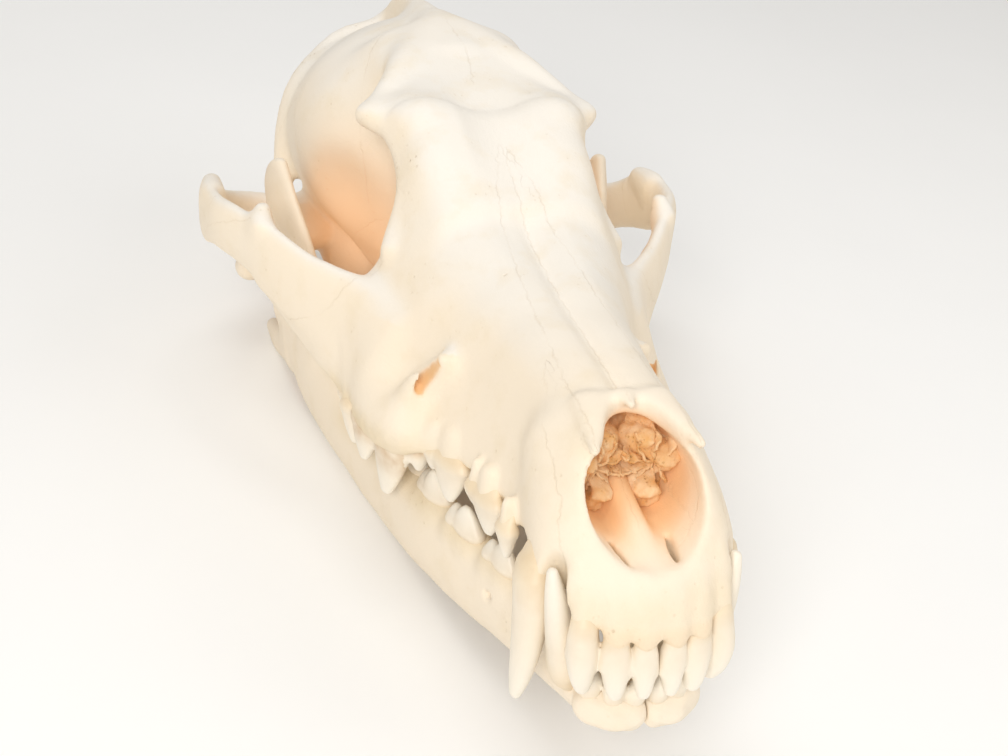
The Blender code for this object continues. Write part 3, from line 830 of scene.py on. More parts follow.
@dataclass(frozen=True)
class ScrollFinish:
    """The thin porous bone of the rolled plates inside the nose, coloured with painted warm shade and a faint
    painted glow.
    """

    name: str
    light: Colour = (0.89, 0.66, 0.42, 1)
    deep: Colour = (0.74, 0.40, 0.14, 1)
    relief: float = 0.2
    shine_through: float = 0.05

    def build(self) -> bpy.types.Material:
        """Makes the material."""
        g = Graph(self.name)
        at = g.places()
        cloud = g.noise(at, 3.2, 4.0)
        fine = g.noise(at, 0.5, 4.0, 0.7)
        pore = g.pits(at, 1.4, 0.08, 0.3) * cloud.between(0.4, 0.6)
        # Painted shade: the plates take the warm and deep orange of the shade inside the nose, in random
        # cloudy patches
        colour = g.mix(cloud.between(0.3, 0.7), self.light, self.deep)
        colour = g.mix(pore * 0.6, colour, self.deep)
        # Painted glow: the plates give off their own colour faintly, as if lit from within
        g.feed(g.shader.inputs["Emission Color"], colour)
        height = fine * 0.5 + cloud * 0.6 - pore * 0.9
        rough = 0.5 + 0.25 * fine
        return g.finish(
            colour, rough, height, self.relief, Emission_Strength=self.shine_through, Specular_IOR_Level=0.35
        )


@dataclass(frozen=True)
class FloorFinish:
    """The plain pale floor."""

    name: str
    pale: Colour = (0.96, 0.96, 0.955, 1)
    shade: Colour = (0.93, 0.93, 0.925, 1)
    relief: float = 0.01

    def build(self) -> bpy.types.Material:
        """Makes the material."""
        g = Graph(self.name)
        at = g.places()
        colour = g.mix(g.noise(at, 60.0, 3.0), self.pale, self.shade)
        rough = 0.55 + 0.1 * g.noise(at, 8.0)
        return g.finish(colour, rough, g.noise(at, 2.0), self.relief, Specular_IOR_Level=0.3)


@dataclass(frozen=True)
class Seam:
    """A suture, drawn as a line in a side view or in a top view.

    Attributes:
        points: (Y, Z) for a side view, or (X, Y) for a top view.
        top: whether it is drawn in the top view.
        both: whether the other side has it too; the midline has none.
    """

    points: tuple[tuple[float, float], ...]
    top: bool = False
    both: bool = True


SEAMS = (
    Seam(((0, 13), (0, 60), (0, 97)), top=True, both=False),
    Seam(((8.2, 15), (7.6, 30), (6.6, 50), (5.6, 68), (3.8, 86), (0.6, 97)), top=True),
    Seam(((0, 118), (1.0, 128), (0, 140)), top=True, both=False),
    Seam(((9.0, 0), (11, 8), (16, 15), (25, 20.5), (38, 26.5))),
    Seam(((105, 11.5), (97, 15), (93, 20), (91, 27))),
    Seam(((116, 29), (124, 26), (131, 23), (138, 18.5))),
    Seam(((141, 61), (137, 55), (131, 47), (128, 38), (130, 28))),
    Seam(((146, 20), (152, 36), (164, 43), (177, 36), (180, 22))),
)


def beside(u: Array, v: Array, points: Sequence[tuple[float, float]]) -> Array:
    """Signed distance from a line in a flat view.

    Args:
        u: first coordinate.
        v: second coordinate.
        points: the line.

    Returns:
        Distance, positive on its left side.
    """
    best = np.full(u.shape, BEYOND)
    signed = np.full(u.shape, BEYOND)
    for (u0, v0), (u1, v1) in zip(points[:-1], points[1:]):
        du, dv = u1 - u0, v1 - v0
        share = np.clip(((u - u0) * du + (v - v0) * dv) / (du * du + dv * dv), 0, 1)
        away = np.hypot(u - u0 - share * du, v - v0 - share * dv)
        side = np.sign(du * (v - v0) - dv * (u - u0))
        closer = away < best
        best = np.where(closer, away, best)
        signed = np.where(closer, away * side, signed)
    return signed


@dataclass
class Piece:
    """A finished mesh, set down in the frame and tied to the model."""

    name: str
    node: str
    slot: str

    def publish(self, mesh: bpy.types.Mesh, material: bpy.types.Material) -> None:
        """Sets a mesh of the anatomical frame down in the shared one, with its finish."""
        mesh.transform(placement())
        mesh.name = self.name
        mesh.materials.clear()
        mesh.materials.append(material)
        obj = bpy.data.objects.new(self.name, mesh)
        bpy.context.scene.collection.objects.link(obj)
        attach(obj, "root")
        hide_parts(self.node)
        log.info("%s: %d faces", self.name, len(mesh.polygons))


def nasal_crown(x: Array, y: Array) -> Array:
    """Height over the midline of the nasal bones, with their fine middle groove."""
    trough = 1.0 * bump(y, 55, 60) + 2.2 * bump(y, 101, 22)
    groove = 1.1 * np.exp(-((x / 1.5) ** 2)) * smoothstep(12, 24, y) * smoothstep(98, 72, y)
    return trough * np.clip(x / 7.0, 0, 1) ** 2 - groove


def brow_crown(x: Array, y: Array) -> Array:
    """Height over the midline of the forehead, which is hollow between the brows."""
    return 2.4 * bump(y, 101, 20) * np.clip(x / 8.0, 0, 1) ** 2


@dataclass
class Cranium:
    """The upper skull."""

    step: float = 0.6
    triangles: int = 190_000
    unevenness: float = 0.13
    gum_unevenness: float = 0.16

    def face(self, bone: Field) -> None:
        """The muzzle, cheeks and palate."""
        bone.add(tapered(FACE, 0.3, 104.0, 1.9, nasal_crown, lean=0.45, bow=0.032), 1.0)
        bone.add(sweep((12.5, 13.5, 3, 3, 2.6), (12.0, 21, 10, 4.2, 2.6), (11.2, 30, 17, 4, 2.8)), 6.0)
        bone.add(ellipsoid((25.0, 77, 4), (5, 13, 6)), 8.0)
        bone.cut(ellipsoid((26, 51, 18), (7.2, 25, 10), turn_z=-10), 9.0)
        bone.add(tapered(BROW, 84.0, 142.0, 1.3, brow_crown), 6.0)

    def braincase(self, bone: Field) -> None:
        """The vault, its crests and the back of the head."""
        bone.add(ellipsoid((0, 154, 36), (30, 35, 26.5)), 9.0)
        bone.add(ellipsoid((0, 172, 32), (27.5, 20, 22)), 8.0)
        bone.add(ellipsoid((0, 181, 33), (27, 8, 22), turn_x=-17), 6.0)
        crest = ((0, 132, 58.5, 2, 4), (0, 150, 61.5, 2.5, 2.8), (0, 170, 61.8, 3, 2), (0, 186, 58.5, 4, 2))
        bone.add(sweep(*crest, (0, 194, 53.5, 3.5, 2.5)), 5.0)
        line = ((22.5, 113, 50.2, 1.6, 1.8), (16, 122, 55.5, 2, 2), (8.5, 134, 59.5, 2, 2.5))
        bone.add(sweep(*line, (0, 150, 62, 2, 3)), 3.5)
        nape = ((28, 171, 11, 3, 2.5), (29.2, 177, 21, 2.5, 2), (24.8, 185, 38.5, 2.5, 2))
        bone.add(sweep(*nape, (13.8, 191.5, 50, 2.5, 2), (0, 194, 53.5, 2.5, 2)), 5.0)

    def orbits(self, bone: Field) -> None:
        """The eye sockets, their rims and processes."""
        bone.cut(ellipsoid((32.5, 110, 34), (17.5, 19, 19)), 1.6)
        bone.cut(ellipsoid((36, 122, 22), (19, 24, 24)), 4.0)
        bone.add(sweep((13, 108, 50, 3.5, 5), (18, 111, 50.2, 2.2, 3), (22.8, 114, 50.0, 0.9, 1.1)), 5.0)
        rim = ((22, 113, 50.2, 1.0, 1.2), (18.2, 106, 46.5, 1.3, 1.3), (17.8, 98, 38, 1.3, 1.3))
        bone.add(sweep(*rim, (22.5, 91.0, 30, 1.6, 1.6)), 3.0)

    def arch(self, bone: Field) -> None:
        """The cheek's arch, from the maxilla to the joint of the jaw."""
        front = ((23.4, 83, 12.0, 8.4, 4.2), (28, 92, 15.8, 8.4, 3.1), (36.3, 103, 18.8, 7.2, 2.4))
        middle = ((43.0, 114, 22.9, 6.3, 2.1), (49.4, 128, 24.6, 5.6, 2.2), (50.4, 141, 23.6, 6.8, 2.1))
        rear = ((46.8, 151, 19.5, 5.6, 2.2), (40, 157, 17, 6, 3), (29, 160, 16, 5, 5))
        bone.add(sweep(*front, *middle, *rear), 5.0)
        bone.add(sweep((49.5, 138, 27, 3, 2), (49.4, 145, 28.6, 1.6, 1.5)), 3.0)
        bone.add(sweep((43, 115, 27.5, 3, 2), (42.6, 116.5, 30.6, 1.8, 1.6)), 3.0)
        plate = ((27, 90, 5, 5, 3), (31.5, 98, 7, 5, 2.8), (35.5, 106, 11.5, 5, 2.4), (40.5, 114, 17, 4, 2))
        bone.add(sweep(*plate), 4.0)
        bone.add(ellipsoid((31.5, 158, 12.5), (12, 8, 4.0)), 4.0)
        socket = CONDYLE_RADIUS + JOINT_GAP
        bone.cut(sweep(*((x, y, z, socket, socket) for x, y, z in JAW_HINGE)), 0.8)
        bone.add(sweep((25, 163, 10, 3, 3), (28, 163.5, 4.5, 2, 2.5)), 3.0)

    def underside(self, bone: Field) -> None:
        """The palate, the passage behind it, the base and its ear capsules."""
        bone.cut(sweep((0, 13, -3.5, 4, 9), (0, 50, -1.0, 4, 11), (0, 95, -0.5, 4, 16)), 3.0)
        wing = ((10.5, 96, 6, 7, 2), (10, 112, 6, 8, 1.6), (9, 124, 5, 6, 1.2), (8.5, 129, 1, 2, 1))
        bone.add(sweep(*wing), 3.0)
        bone.cut(sweep((0, 100, 5, 6, 8), (0, 118, 5, 8, 8), (0, 132, 3, 8, 8.5)), 2.0)
        bone.add(sweep((0, 118, 14, 3.5, 8), (0, 150, 12.5, 3.5, 10), (0, 178, 12.5, 3.5, 9)), 4.0)
        bone.add(ellipsoid((14.5, 157, 8.5), (8.2, 12.5, 8.2), turn_z=-12), 2.0)
        bone.add(ellipsoid((8.5, 183.5, 19), (5.2, 5.5, 8.5), turn_x=25), 3.0)
        bone.cut(ellipsoid((0, 187, 24.5), (8, 13, 6.5), turn_x=-10), 2.5)
        bone.add(sweep((19.5, 177, 12, 4, 4), (20.5, 180.5, 2.5, 1.5, 2)), 3.0)
        bone.cut(ellipsoid((27, 167, 14), (6, 2.8, 2.8)), 1.5)
        bone.cut(sweep((5.2, 14, -2, 2.6, 1.4), (5.6, 20, -2, 2.6, 1.4)), 0.8)
        bone.cut(sweep((8, 62, 4, 1.2, 1.0), (8.6, 70, 4, 1.2, 1.0)), 0.8)
        bone.cut(ellipsoid((10.5, 146, 6.0), (1.6, 3.0, 3.0)), 0.8)

    def nose(self, bone: Field) -> None:
        """The opening of the nose and the canals of the face."""
        bone.cut(sweep(*NOSE_HALL), 1.2)
        bone.cut(ellipsoid((0, 11, 26), (8.2, 13.5, 8)), 1.2)
        bone.add(sweep((0, 26, 27.0, 1.0, 2.0), (0, 22.4, 26.4, 0.7, 0.7)), 1.5)
        bone.add(sweep((5.5, 26, 26.3, 1.0, 2.5), (8.6, 14.5, 23.0, 0.9, 0.9)), 2.0)
        keel = ((0, 6, 3.4, 1.6, 2.4), (0, 14, 6.2, 3.0, 2.7), (0, 26, 9, 5.0, 2.5), (0, 40, 13, 8, 1.6))
        bone.add(sweep(*keel), 2.4)
        bone.cut(sweep((4.2, 10.0, 9, 3.6, 0.4), (4.6, 12.6, 4, 3.6, 0.55)), 0.6)
        ridge = ((19.4, 62.5, 18.5, 1.2, 1.2), (22.6, 66.8, 13, 1.8, 1.8), (23.6, 69, 7, 1.5, 1.5))
        bone.add(sweep(*ridge), 5.0)
        bone.cut(sweep(*FACE_SLIT, across=SLIT_ACROSS), 1.1)
        bone.cut(sweep((12.4, 12.5, -6, 3.4, 3.4), (15.2, 10.8, 6.0, 2.4, 2.4)), 1.0)

    def sockets(self, bone: Field) -> None:
        """The swellings over the roots, and the scalloped edge between the necks."""
        for cusp in UPPER_CUSPS:
            x, y, z = cusp.neck
            if cusp.crown in (Crown.MOLAR, Crown.CANINE):
                continue
            if cusp.crown is Crown.INCISOR:
                rise, lean, wide, long = 7.5, 3.4, 1.9, 1.9
            else:
                rise, lean, wide, long = 4.0, 0.2, cusp.across * 0.85, cusp.along * 0.52 + 0.2
            mouth, end = (x, y, z - 0.3, long, wide), (x, y + lean, z + rise, long * 0.7, wide * 0.7)
            bone.add(sweep(mouth, end, across=cusp.aside()), 1.6)

    def build(self) -> bpy.types.Mesh:
        """Makes the bone's mesh, with the marks that its finish reads."""
        bone = Field((0, -6, -12), (58, 206, 72), self.step)
        self.face(bone)
        self.braincase(bone)
        self.orbits(bone)
        self.arch(bone)
        self.underside(bone)
        self.nose(bone)
        self.sockets(bone)
        bone.shift(lambda x, y, z: self.unevenness * ripple(x, y, z, 13.0, 3) * smoothstep(4, 30, y))
        bone.shift(self.gum_bumps)
        mesh = bone.mesh("cranium_surface", self.triangles, mirrored=True)
        self.dress(mesh)
        return mesh

    def gum_bumps(self, x: Array, y: Array, z: Array) -> Array:
        """The small unevenness of the bone along the tooth sockets."""
        return self.gum_unevenness * ripple(x, y, z, 3.2, 5) * smoothstep(7, 2, z) * smoothstep(104, 98, y)

    def dress(self, mesh: bpy.types.Mesh) -> None:
        """Marks sutures, painted shade and glow in the hollows, painted light on what faces up, gum edges and
        rough patches.
        """
        at, up = at_vertices(mesh), at_vertices(mesh, "normal")
        x, y, z = at.T
        wide = np.abs(x)
        signed, near = np.full(len(at), NO_SUTURE), np.zeros(len(at))
        for seam in SEAMS:
            u, v = ((wide if seam.both else x), y) if seam.top else (y, z)
            away = beside(u, v, seam.points)
            if seam.top:
                facing = smoothstep(0.1, 0.35, up[:, 2])
            else:
                facing = smoothstep(0.2, 0.5, np.abs(up[:, 0])) * smoothstep(3.0, 6.0, wide)
            presence = np.exp(-((away / 1.6) ** 2)) * facing
            use = presence > near
            signed, near = np.where(use, away, signed), np.where(use, presence, near)
        mark(mesh, "suture", signed)
        mark(mesh, "suture_near", smoothstep(0.25, 0.7, near))
        # Painted shade and glow: the inside of the nose, the orbit, the cheek's slit and the low front under
        # the incisors are marked for painted warm shade, and the orbit and nose also for painted glow
        rim = 6 + 0.62 * (z - 6)
        hall = sweep(*NOSE_HALL).distance(wide, y, z)
        inside = smoothstep(-1.0, 12, y - rim) * smoothstep(1.6, 0.6, hall)
        pit = 1 - np.sqrt(((wide - 20) / 18) ** 2 + ((y - 128) / 46) ** 2 + ((z - 15) / 32) ** 2)
        socket = smoothstep(-0.1, 0.8, pit) * smoothstep(31, 26, wide) * smoothstep(88, 97, y) * 0.55
        slit = smoothstep(0.4, 0.0, sweep(*FACE_SLIT, across=SLIT_ACROSS).distance(wide, y, z))
        between = smoothstep(0.0, -1.5, z) * smoothstep(12, 8, y) * 0.4
        mark(mesh, "painted_hollow_shade", np.maximum.reduce([inside * 0.9, socket, slit, between]))
        mark(mesh, "glow", np.maximum(socket * 1.5, inside * 0.22))
        # Painted light: what faces up on the top of the skull is painted paler
        mark(mesh, "painted_top_light", smoothstep(0.25, 0.85, up[:, 2]) * smoothstep(10, 70, y) * (z > 20))
        gum = smoothstep(6.0, 1.0, z) * smoothstep(108, 100, y) * smoothstep(-4, 2, y)
        mark(mesh, "gum", gum * (0.6 + 0.9 * bump(y, 82, 24)))
        brow = np.exp(-(((wide - 20) / 5) ** 2 + ((y - 100) / 6) ** 2 + ((z - 42) / 7) ** 2))
        snout = np.exp(-(((y - 2) / 3) ** 2 + ((z + 1) / 3) ** 2)) * 0.6
        nape = smoothstep(178, 190, y) * 0.5
        mark(mesh, "rough", np.clip(brow + snout + nape, 0, 1))


def melted(parts: Sequence[tuple[Solid, float]]) -> Solid:
    """One solid made of several, each joined as softly as it says.

    Args:
        parts: the solids, each with the width of its fillet.

    Returns:
        The solid.
    """

    def distance(x: Array, y: Array, z: Array) -> Array:
        """Distance to the surface, below zero inside."""
        total = parts[0][0].distance(x, y, z)
        for solid, blend in parts[1:]:
            total = smooth_min(total, solid.distance(x, y, z), blend)
        return total

    low = np.min([solid.low for solid, _ in parts], axis=0)
    return Solid(low, np.max([solid.high for solid, _ in parts], axis=0), distance)


@dataclass
class ToothRow:
    """The crowns of one jaw's left side, sculpted cusp by cusp."""

    cusps: tuple[Cusp, ...]
    step: float = 0.34
    triangles: int = 84_000

    def crown(self, cusp: Cusp) -> list[tuple[Solid, float]]:
        """The solids of one cusp, each with how softly it joins its tooth."""
        neck, tip = np.array(cusp.neck, float), np.array(cusp.tip, float)
        axis = tip - neck
        across = cusp.aside()
        along = np.array((-across[1], across[0], 0.0))
        up = -math.copysign(1.0, float(axis[2]))
        lean = ROOT_LEAN[cusp.crown]
        root = neck + np.array((lean[0], lean[1], lean[2] * up)) * cusp.root
        rows = [(*root, cusp.along * 0.34, cusp.across * 0.32)]
        for share, wide, long in cusp.crown.value:
            bow = along * (-cusp.bow * math.sin(math.pi * share))
            rows.append((*(neck + axis * share + bow), cusp.along * long, cusp.across * wide))
        solids = [(sweep(*rows, pieces=3, across=across), 1.2)]
        if cusp.crown is Crown.INCISOR:
            for side, reach in ((-1, 0.66), (1, 0.54)):
                aside = np.array(across) * side * cusp.across
                low = (*(neck + axis * 0.3 + aside * 0.45), cusp.along * 0.52, 0.9)
                high = (*(neck + axis * reach + aside * 0.82), cusp.along * 0.38, 0.55)
                solids.append((sweep(low, high, across=across), 0.9))
        if cusp.crown in (Crown.BLADE, Crown.MOLAR):
            swelling = (cusp.across * 1.1, cusp.along * 1.04, 1.1)
            solids.append((ellipsoid(neck + axis * 0.16, swelling, turn_z=cusp.turn), 1.0))
        return solids

    def build(self, name: str) -> bpy.types.Mesh:
        """Makes the crowns' mesh, with marks of height and stain."""
        row = Field((-2, -2, -28), (34, 108, 12), self.step)
        groups: dict[str, list[Cusp]] = {}
        for cusp in self.cusps:
            groups.setdefault(cusp.tooth, []).append(cusp)
        for cusps in groups.values():
            row.add(melted([part for cusp in cusps for part in self.crown(cusp)]), 0.02)
        mesh = row.mesh(name, self.triangles, mirrored=False, whole=False)
        self.dress(mesh)
        return mesh

    def dress(self, mesh: bpy.types.Mesh) -> None:
        """Marks each vertex's share of its crown's height, and the stained teeth."""
        at = at_vertices(mesh)
        best = np.full(len(at), BEYOND)
        share, stain = np.zeros(len(at)), np.zeros(len(at))
        for cusp in self.cusps:
            neck, tip = np.array(cusp.neck), np.array(cusp.tip)
            axis = tip - neck
            t = (at - neck) @ axis / (axis @ axis)
            nearest = neck + np.clip(t, -0.2, 1)[:, None] * axis
            away = np.linalg.norm(at - nearest, axis=1) / (cusp.across + cusp.along)
            closer = away < best
            best = np.where(closer, away, best)
            share = np.where(closer, t, share)
            brown = 0.85 if cusp.tooth == "carnassial" and tip[2] < neck[2] else 0.12
            stain = np.where(closer, brown * (1 - smoothstep(0.25, 0.8, t)), stain)
        mark(mesh, "height", share)
        mark(mesh, "stain", stain)


@dataclass
class LowerJaw:
    """The two halves of the lower jaw and their teeth."""

    step: float = 0.55
    triangles: int = 120_000

    def half(self) -> bpy.types.Mesh:
        """Makes the left half's bone."""
        bone = Field((-3, -4, -36), (58, 174, 48), self.step)
        body = (
            (2.2, 6.0, -17.8, 1.9, 4.4),
            (4.8, 11, -17.6, 4.2, 4.7),
            (6.9, 20, -18.0, 5.6, 4.2),
            (8.8, 30, -18.1, 6.7, 3.9),
            (11.5, 42, -18.2, 7.7, 3.9),
            (15.6, 58, -18.3, 8.5, 4.1),
            (19.0, 74, -17.9, 8.7, 4.4),
            (21.7, 90, -17.0, 8.6, 4.4),
            (25.2, 105, -13.4, 9.4, 4.0),
            (29.0, 120, -8.2, 10.6, 3.3),
            (31.8, 134, -2.2, 10.3, 2.7),
            (32.8, 146, 0.9, 8.4, 2.4),
        )
        bone.add(sweep(*body), 2.0)
        blade = ((29, 116, 2, 9, 2.2), (32, 126, 12, 9, 2.2), (35, 134, 23, 8.4, 2.0))
        bone.add(sweep(*blade, (36.4, 139, 33.4, 4.4, 1.8), across=(1, -0.3, -0.2)), 4.0)
        back = ((33.2, 138, 6, 8, 2.0), (34.6, 141, 18, 7, 1.9), (35.8, 141, 29.6, 5, 1.7))
        bone.add(sweep(*back, across=(1, -0.1, -0.1)), 3.0)
        bone.add(sweep((33, 146, 2, 5, 2.5), (32.5, 152, 5, 3.5, 3), (32, 154.5, 5.5, 3.2, 3.2)), 3.0)
        bone.add(sweep(*((x, y, z, CONDYLE_RADIUS, CONDYLE_RADIUS) for x, y, z in JAW_HINGE)), 2.0)
        bone.add(sweep((31.6, 138, -9, 4, 2.5), (32.8, 150, -11, 3, 2.3), (33.6, 160, -10.5, 1.8, 1.8)), 3.0)
        bone.cut(ellipsoid((38.5, 135, 4), (5, 13, 9), turn_x=20), 3.0)
        for y, x, size in ((27, 12.5, 1.0), (41, 15.0, 0.8)):
            bone.cut(ellipsoid((x, y, -16.5), (3, size * 1.3, size)), 0.6)
        for cusp in LOWER_CUSPS:
            x, y, z = cusp.neck
            if cusp.tooth == "canine":
                continue
            reach = (cusp.across + 0.5, cusp.along * 0.8 + 0.4, 2.6)
            bone.add(ellipsoid((x, y, z - 1.6), reach, turn_z=cusp.turn), 2.5)
        bone.shift(lambda x, y, z: 0.1 * ripple(x, y, z, 11.0, 8))
        bone.shift(lambda x, y, z: 0.24 * ripple(x, y, z, 3.4, 9) * smoothstep(26, 12, y))
        return bone.mesh("left_jaw_surface", self.triangles, mirrored=False)

    def level(self, mesh: bpy.types.Mesh) -> None:
        """Flattens what would pass the midline or the floor, so that the halves stay apart."""
        at = at_vertices(mesh)
        at[:, 0] = np.where(at[:, 1] < 60, np.maximum(at[:, 0], SEAM_GAP / 2), at[:, 0])
        turn = np.array(placement().to_3x3())
        drop = np.array(placement().translation)
        set_down = at @ turn.T + drop
        set_down[:, 2] = np.maximum(set_down[:, 2], 0.0)
        at = (set_down - drop) @ np.linalg.inv(turn).T
        mesh.vertices.foreach_set("co", at.astype(np.float32).ravel())
        mesh.update()

    def dress(self, mesh: bpy.types.Mesh) -> None:
        """Marks the gum edge, the rough patches and painted paler light on what faces up; there are no
        sutures, painted hollow shade or glow.
        """
        at, up = at_vertices(mesh), at_vertices(mesh, "normal")
        x, y, z = at.T
        mark(mesh, "suture", np.full(len(at), NO_SUTURE))
        for absent in ("suture_near", "painted_hollow_shade", "glow"):
            mark(mesh, absent, np.zeros(len(at)))
        # Painted light: what faces up on the jaw is painted a little paler
        mark(mesh, "painted_top_light", smoothstep(0.6, 1.0, up[:, 2]) * 0.3)
        mark(mesh, "gum", smoothstep(-15, -10, z) * smoothstep(112, 98, y) * (z < -2))
        chin = np.exp(-(((y - 8) / 7) ** 2 + ((x - 2) / 5) ** 2)) * 0.8
        heel = np.exp(-(((y - 157) / 6) ** 2 + ((z + 11) / 5) ** 2)) * 0.6
        mark(mesh, "rough", np.clip(chin + heel, 0, 1))

    def build(self) -> tuple[bpy.types.Mesh, bpy.types.Mesh]:
        """Makes the left bone and the left row of crowns."""
        bone = self.half()
        self.level(bone)
        self.dress(bone)
        return bone, ToothRow(LOWER_CUSPS).build("left_lower_teeth")


@dataclass
class Scrolls:
    """The crinkled plates inside the nose, fanned out by Geometry Nodes."""

    plates: int = 9
    reach: float = 4.9
    depth: float = 13.0
    thickness: float = 0.4
    crinkle: float = 5.0
    seed: int = 11
    centre: tuple[float, float, float] = (4.4, 29.0, 17.8)
    tilt: float = 18.0
    cells: tuple[int, int] = (26, 44)
    crinkle_scale: float = 0.33
    crinkle_detail: float = 2.5
    seed_stride: float = 3.17
    roll_step: float = 0.36
    roll_triangles: int = 26_000

    def mass(self) -> bpy.types.Mesh:
        """Makes the crumpled masses of rolled bone on the left side, in the anatomical frame."""
        rolls = Field((-1, 16, 4), (12, 46, 30), self.roll_step)
        for centre, radii in (
            ((4.6, 30.0, 11.5), (3.6, 9.0, 3.6)),
            ((6.6, 28.5, 16.5), (3.0, 8.0, 3.2)),
            ((3.4, 31.0, 19.0), (3.4, 9.0, 3.6)),
            ((4.6, 33.0, 21.2), (3.6, 8.0, 3.0)),
        ):
            rolls.add(ellipsoid(centre, radii), 0.6)
        for front, back in (
            ((6.2, 18, 12.2, 1.2, 0.7), (5.2, 34, 12.8, 1.2, 0.7)),
            ((2.6, 18, 15.0, 0.5, 1.6), (2.6, 34, 15.4, 0.5, 1.6)),
            ((7.8, 18, 20.0, 1.4, 0.5), (6.8, 34, 20.6, 1.4, 0.5)),
        ):
            rolls.cut(sweep(front, back), 0.5)
        rolls.shift(lambda x, y, z: 0.75 * ripple(x, y, z, 4.2, 21) + 0.3 * ripple(x, y, z, 1.7, 22))
        return rolls.mesh("left_rolls", self.roll_triangles, mirrored=False)

    def sizes(self) -> dict[str, float]:
        """The tree's inputs by name."""
        return {
            "Plates": self.plates,
            "Reach": self.reach,
            "Depth": self.depth,
            "Thickness": self.thickness,
            "Crinkle": self.crinkle,
            "Seed": self.seed,
        }

    def tree(self, material: bpy.types.Material) -> bpy.types.NodeTree:
        """Makes the tree: a crinkled strip with thickness, turned round an axis again and again."""
        tree = bpy.data.node_groups.new("nasal_scrolls", "GeometryNodeTree")
        face = tree.interface
        face.new_socket("Geometry", in_out="INPUT", socket_type="NodeSocketGeometry")
        for name, value in self.sizes().items():
            kind = "NodeSocketInt" if isinstance(value, int) else "NodeSocketFloat"
            face.new_socket(name, in_out="INPUT", socket_type=kind).default_value = value
        face.new_socket("Geometry", in_out="OUTPUT", socket_type="NodeSocketGeometry")

        def make(kind: str, settings: dict[str, Any] | None = None, **values: Any) -> bpy.types.Node:
            """Adds a node, its settings and its inputs by name, with _ for a space."""
            node = tree.nodes.new(kind)
            for key, value in (settings or {}).items():
                setattr(node, key, value)
            for key, value in values.items():
                socket = node.inputs[key.replace("_", " ")]
                if isinstance(value, bpy.types.NodeSocket):
                    tree.links.new(value, socket)
                else:
                    socket.default_value = value
            return node

        def maths(kind: str, operation: str, first: Any, second: Any) -> bpy.types.NodeSocket:
            """Adds a Math or Vector Math node of two inputs, and gives its result."""
            node = make(kind, {"operation": operation})
            tree.links.new(first, node.inputs[0])
            if isinstance(second, bpy.types.NodeSocket):
                tree.links.new(second, node.inputs[1])
            else:
                node.inputs[1].default_value = second
            return node.outputs[0]

        given = make("NodeGroupInput").outputs
        line = make("GeometryNodeMeshLine", Count=given["Plates"], Offset=(0, 0, 0))
        index = make("GeometryNodeInputIndex").outputs[0]
        sheet = make(
            "GeometryNodeMeshGrid",
            Size_X=given["Reach"],
            Size_Y=given["Depth"],
            Vertices_X=self.cells[0],
            Vertices_Y=self.cells[1],
        )
        out = make("ShaderNodeCombineXYZ", X=maths("ShaderNodeMath", "MULTIPLY", given["Reach"], 0.5))
        moved = make("GeometryNodeTransform", Geometry=sheet.outputs[0], Translation=out.outputs[0])
        copies = make("GeometryNodeInstanceOnPoints", Points=line.outputs[0], Instance=moved.outputs[0])
        share = maths("ShaderNodeMath", "DIVIDE", index, given["Plates"])
        turn = make("ShaderNodeCombineXYZ", Y=maths("ShaderNodeMath", "MULTIPLY", share, math.tau))
        turned = make("GeometryNodeRotateInstances", Instances=copies.outputs[0], Rotation=turn.outputs[0])
        flat = make("GeometryNodeRealizeInstances", Geometry=turned.outputs[0])
        noise = make(
            "ShaderNodeTexNoise",
            {"noise_dimensions": "4D"},
            W=maths("ShaderNodeMath", "MULTIPLY", given["Seed"], self.seed_stride),
            Scale=self.crinkle_scale,
            Detail=self.crinkle_detail,
        )
        centred = maths("ShaderNodeVectorMath", "SUBTRACT", noise.outputs["Color"], (0.5, 0.5, 0.5))
        scaled = make("ShaderNodeVectorMath", {"operation": "SCALE"}, Scale=given["Crinkle"])
        tree.links.new(centred, scaled.inputs[0])
        crinkled = make("GeometryNodeSetPosition", Geometry=flat.outputs[0], Offset=scaled.outputs[0])
        back = make("GeometryNodeFlipFaces", Mesh=crinkled.outputs[0])
        thick = make(
            "GeometryNodeExtrudeMesh",
            {"mode": "FACES"},
            Mesh=crinkled.outputs[0],
            Offset_Scale=given["Thickness"],
            Individual=False,
        )
        both = make("GeometryNodeJoinGeometry")
        tree.links.new(thick.outputs[0], both.inputs[0])
        tree.links.new(back.outputs[0], both.inputs[0])
        closed = make("GeometryNodeMergeByDistance", Geometry=both.outputs[0], Distance=0.001)
        plain = make("GeometryNodeRealizeInstances", Geometry=closed.outputs[0])
        dressed = make("GeometryNodeSetMaterial", Geometry=plain.outputs[0], Material=material)
        result = tree.nodes.new("NodeGroupOutput")
        tree.links.new(dressed.outputs[0], result.inputs[0])
        return tree

    def bundle(self, material: bpy.types.Material) -> bpy.types.Mesh:
        """Makes one side's plates as a plain mesh in the anatomical frame."""
        obj = bpy.data.objects.new("scroll_source", bpy.data.meshes.new("scroll_source"))
        bpy.context.scene.collection.objects.link(obj)
        fan = obj.modifiers.new("Scrolls", "NODES")
        fan.node_group = self.tree(material)
        sizes = self.sizes()
        for item in fan.node_group.interface.items_tree:
            if item.in_out == "INPUT" and item.name in sizes:
                fan[item.identifier] = sizes[item.name]
        mesh = bpy.data.meshes.new_from_object(obj.evaluated_get(bpy.context.evaluated_depsgraph_get()))
        bpy.data.objects.remove(obj)
        mesh.transform(Matrix.Translation(self.centre) @ Matrix.Rotation(math.radians(self.tilt), 4, "X"))
        mesh.shade_smooth()
        return mesh

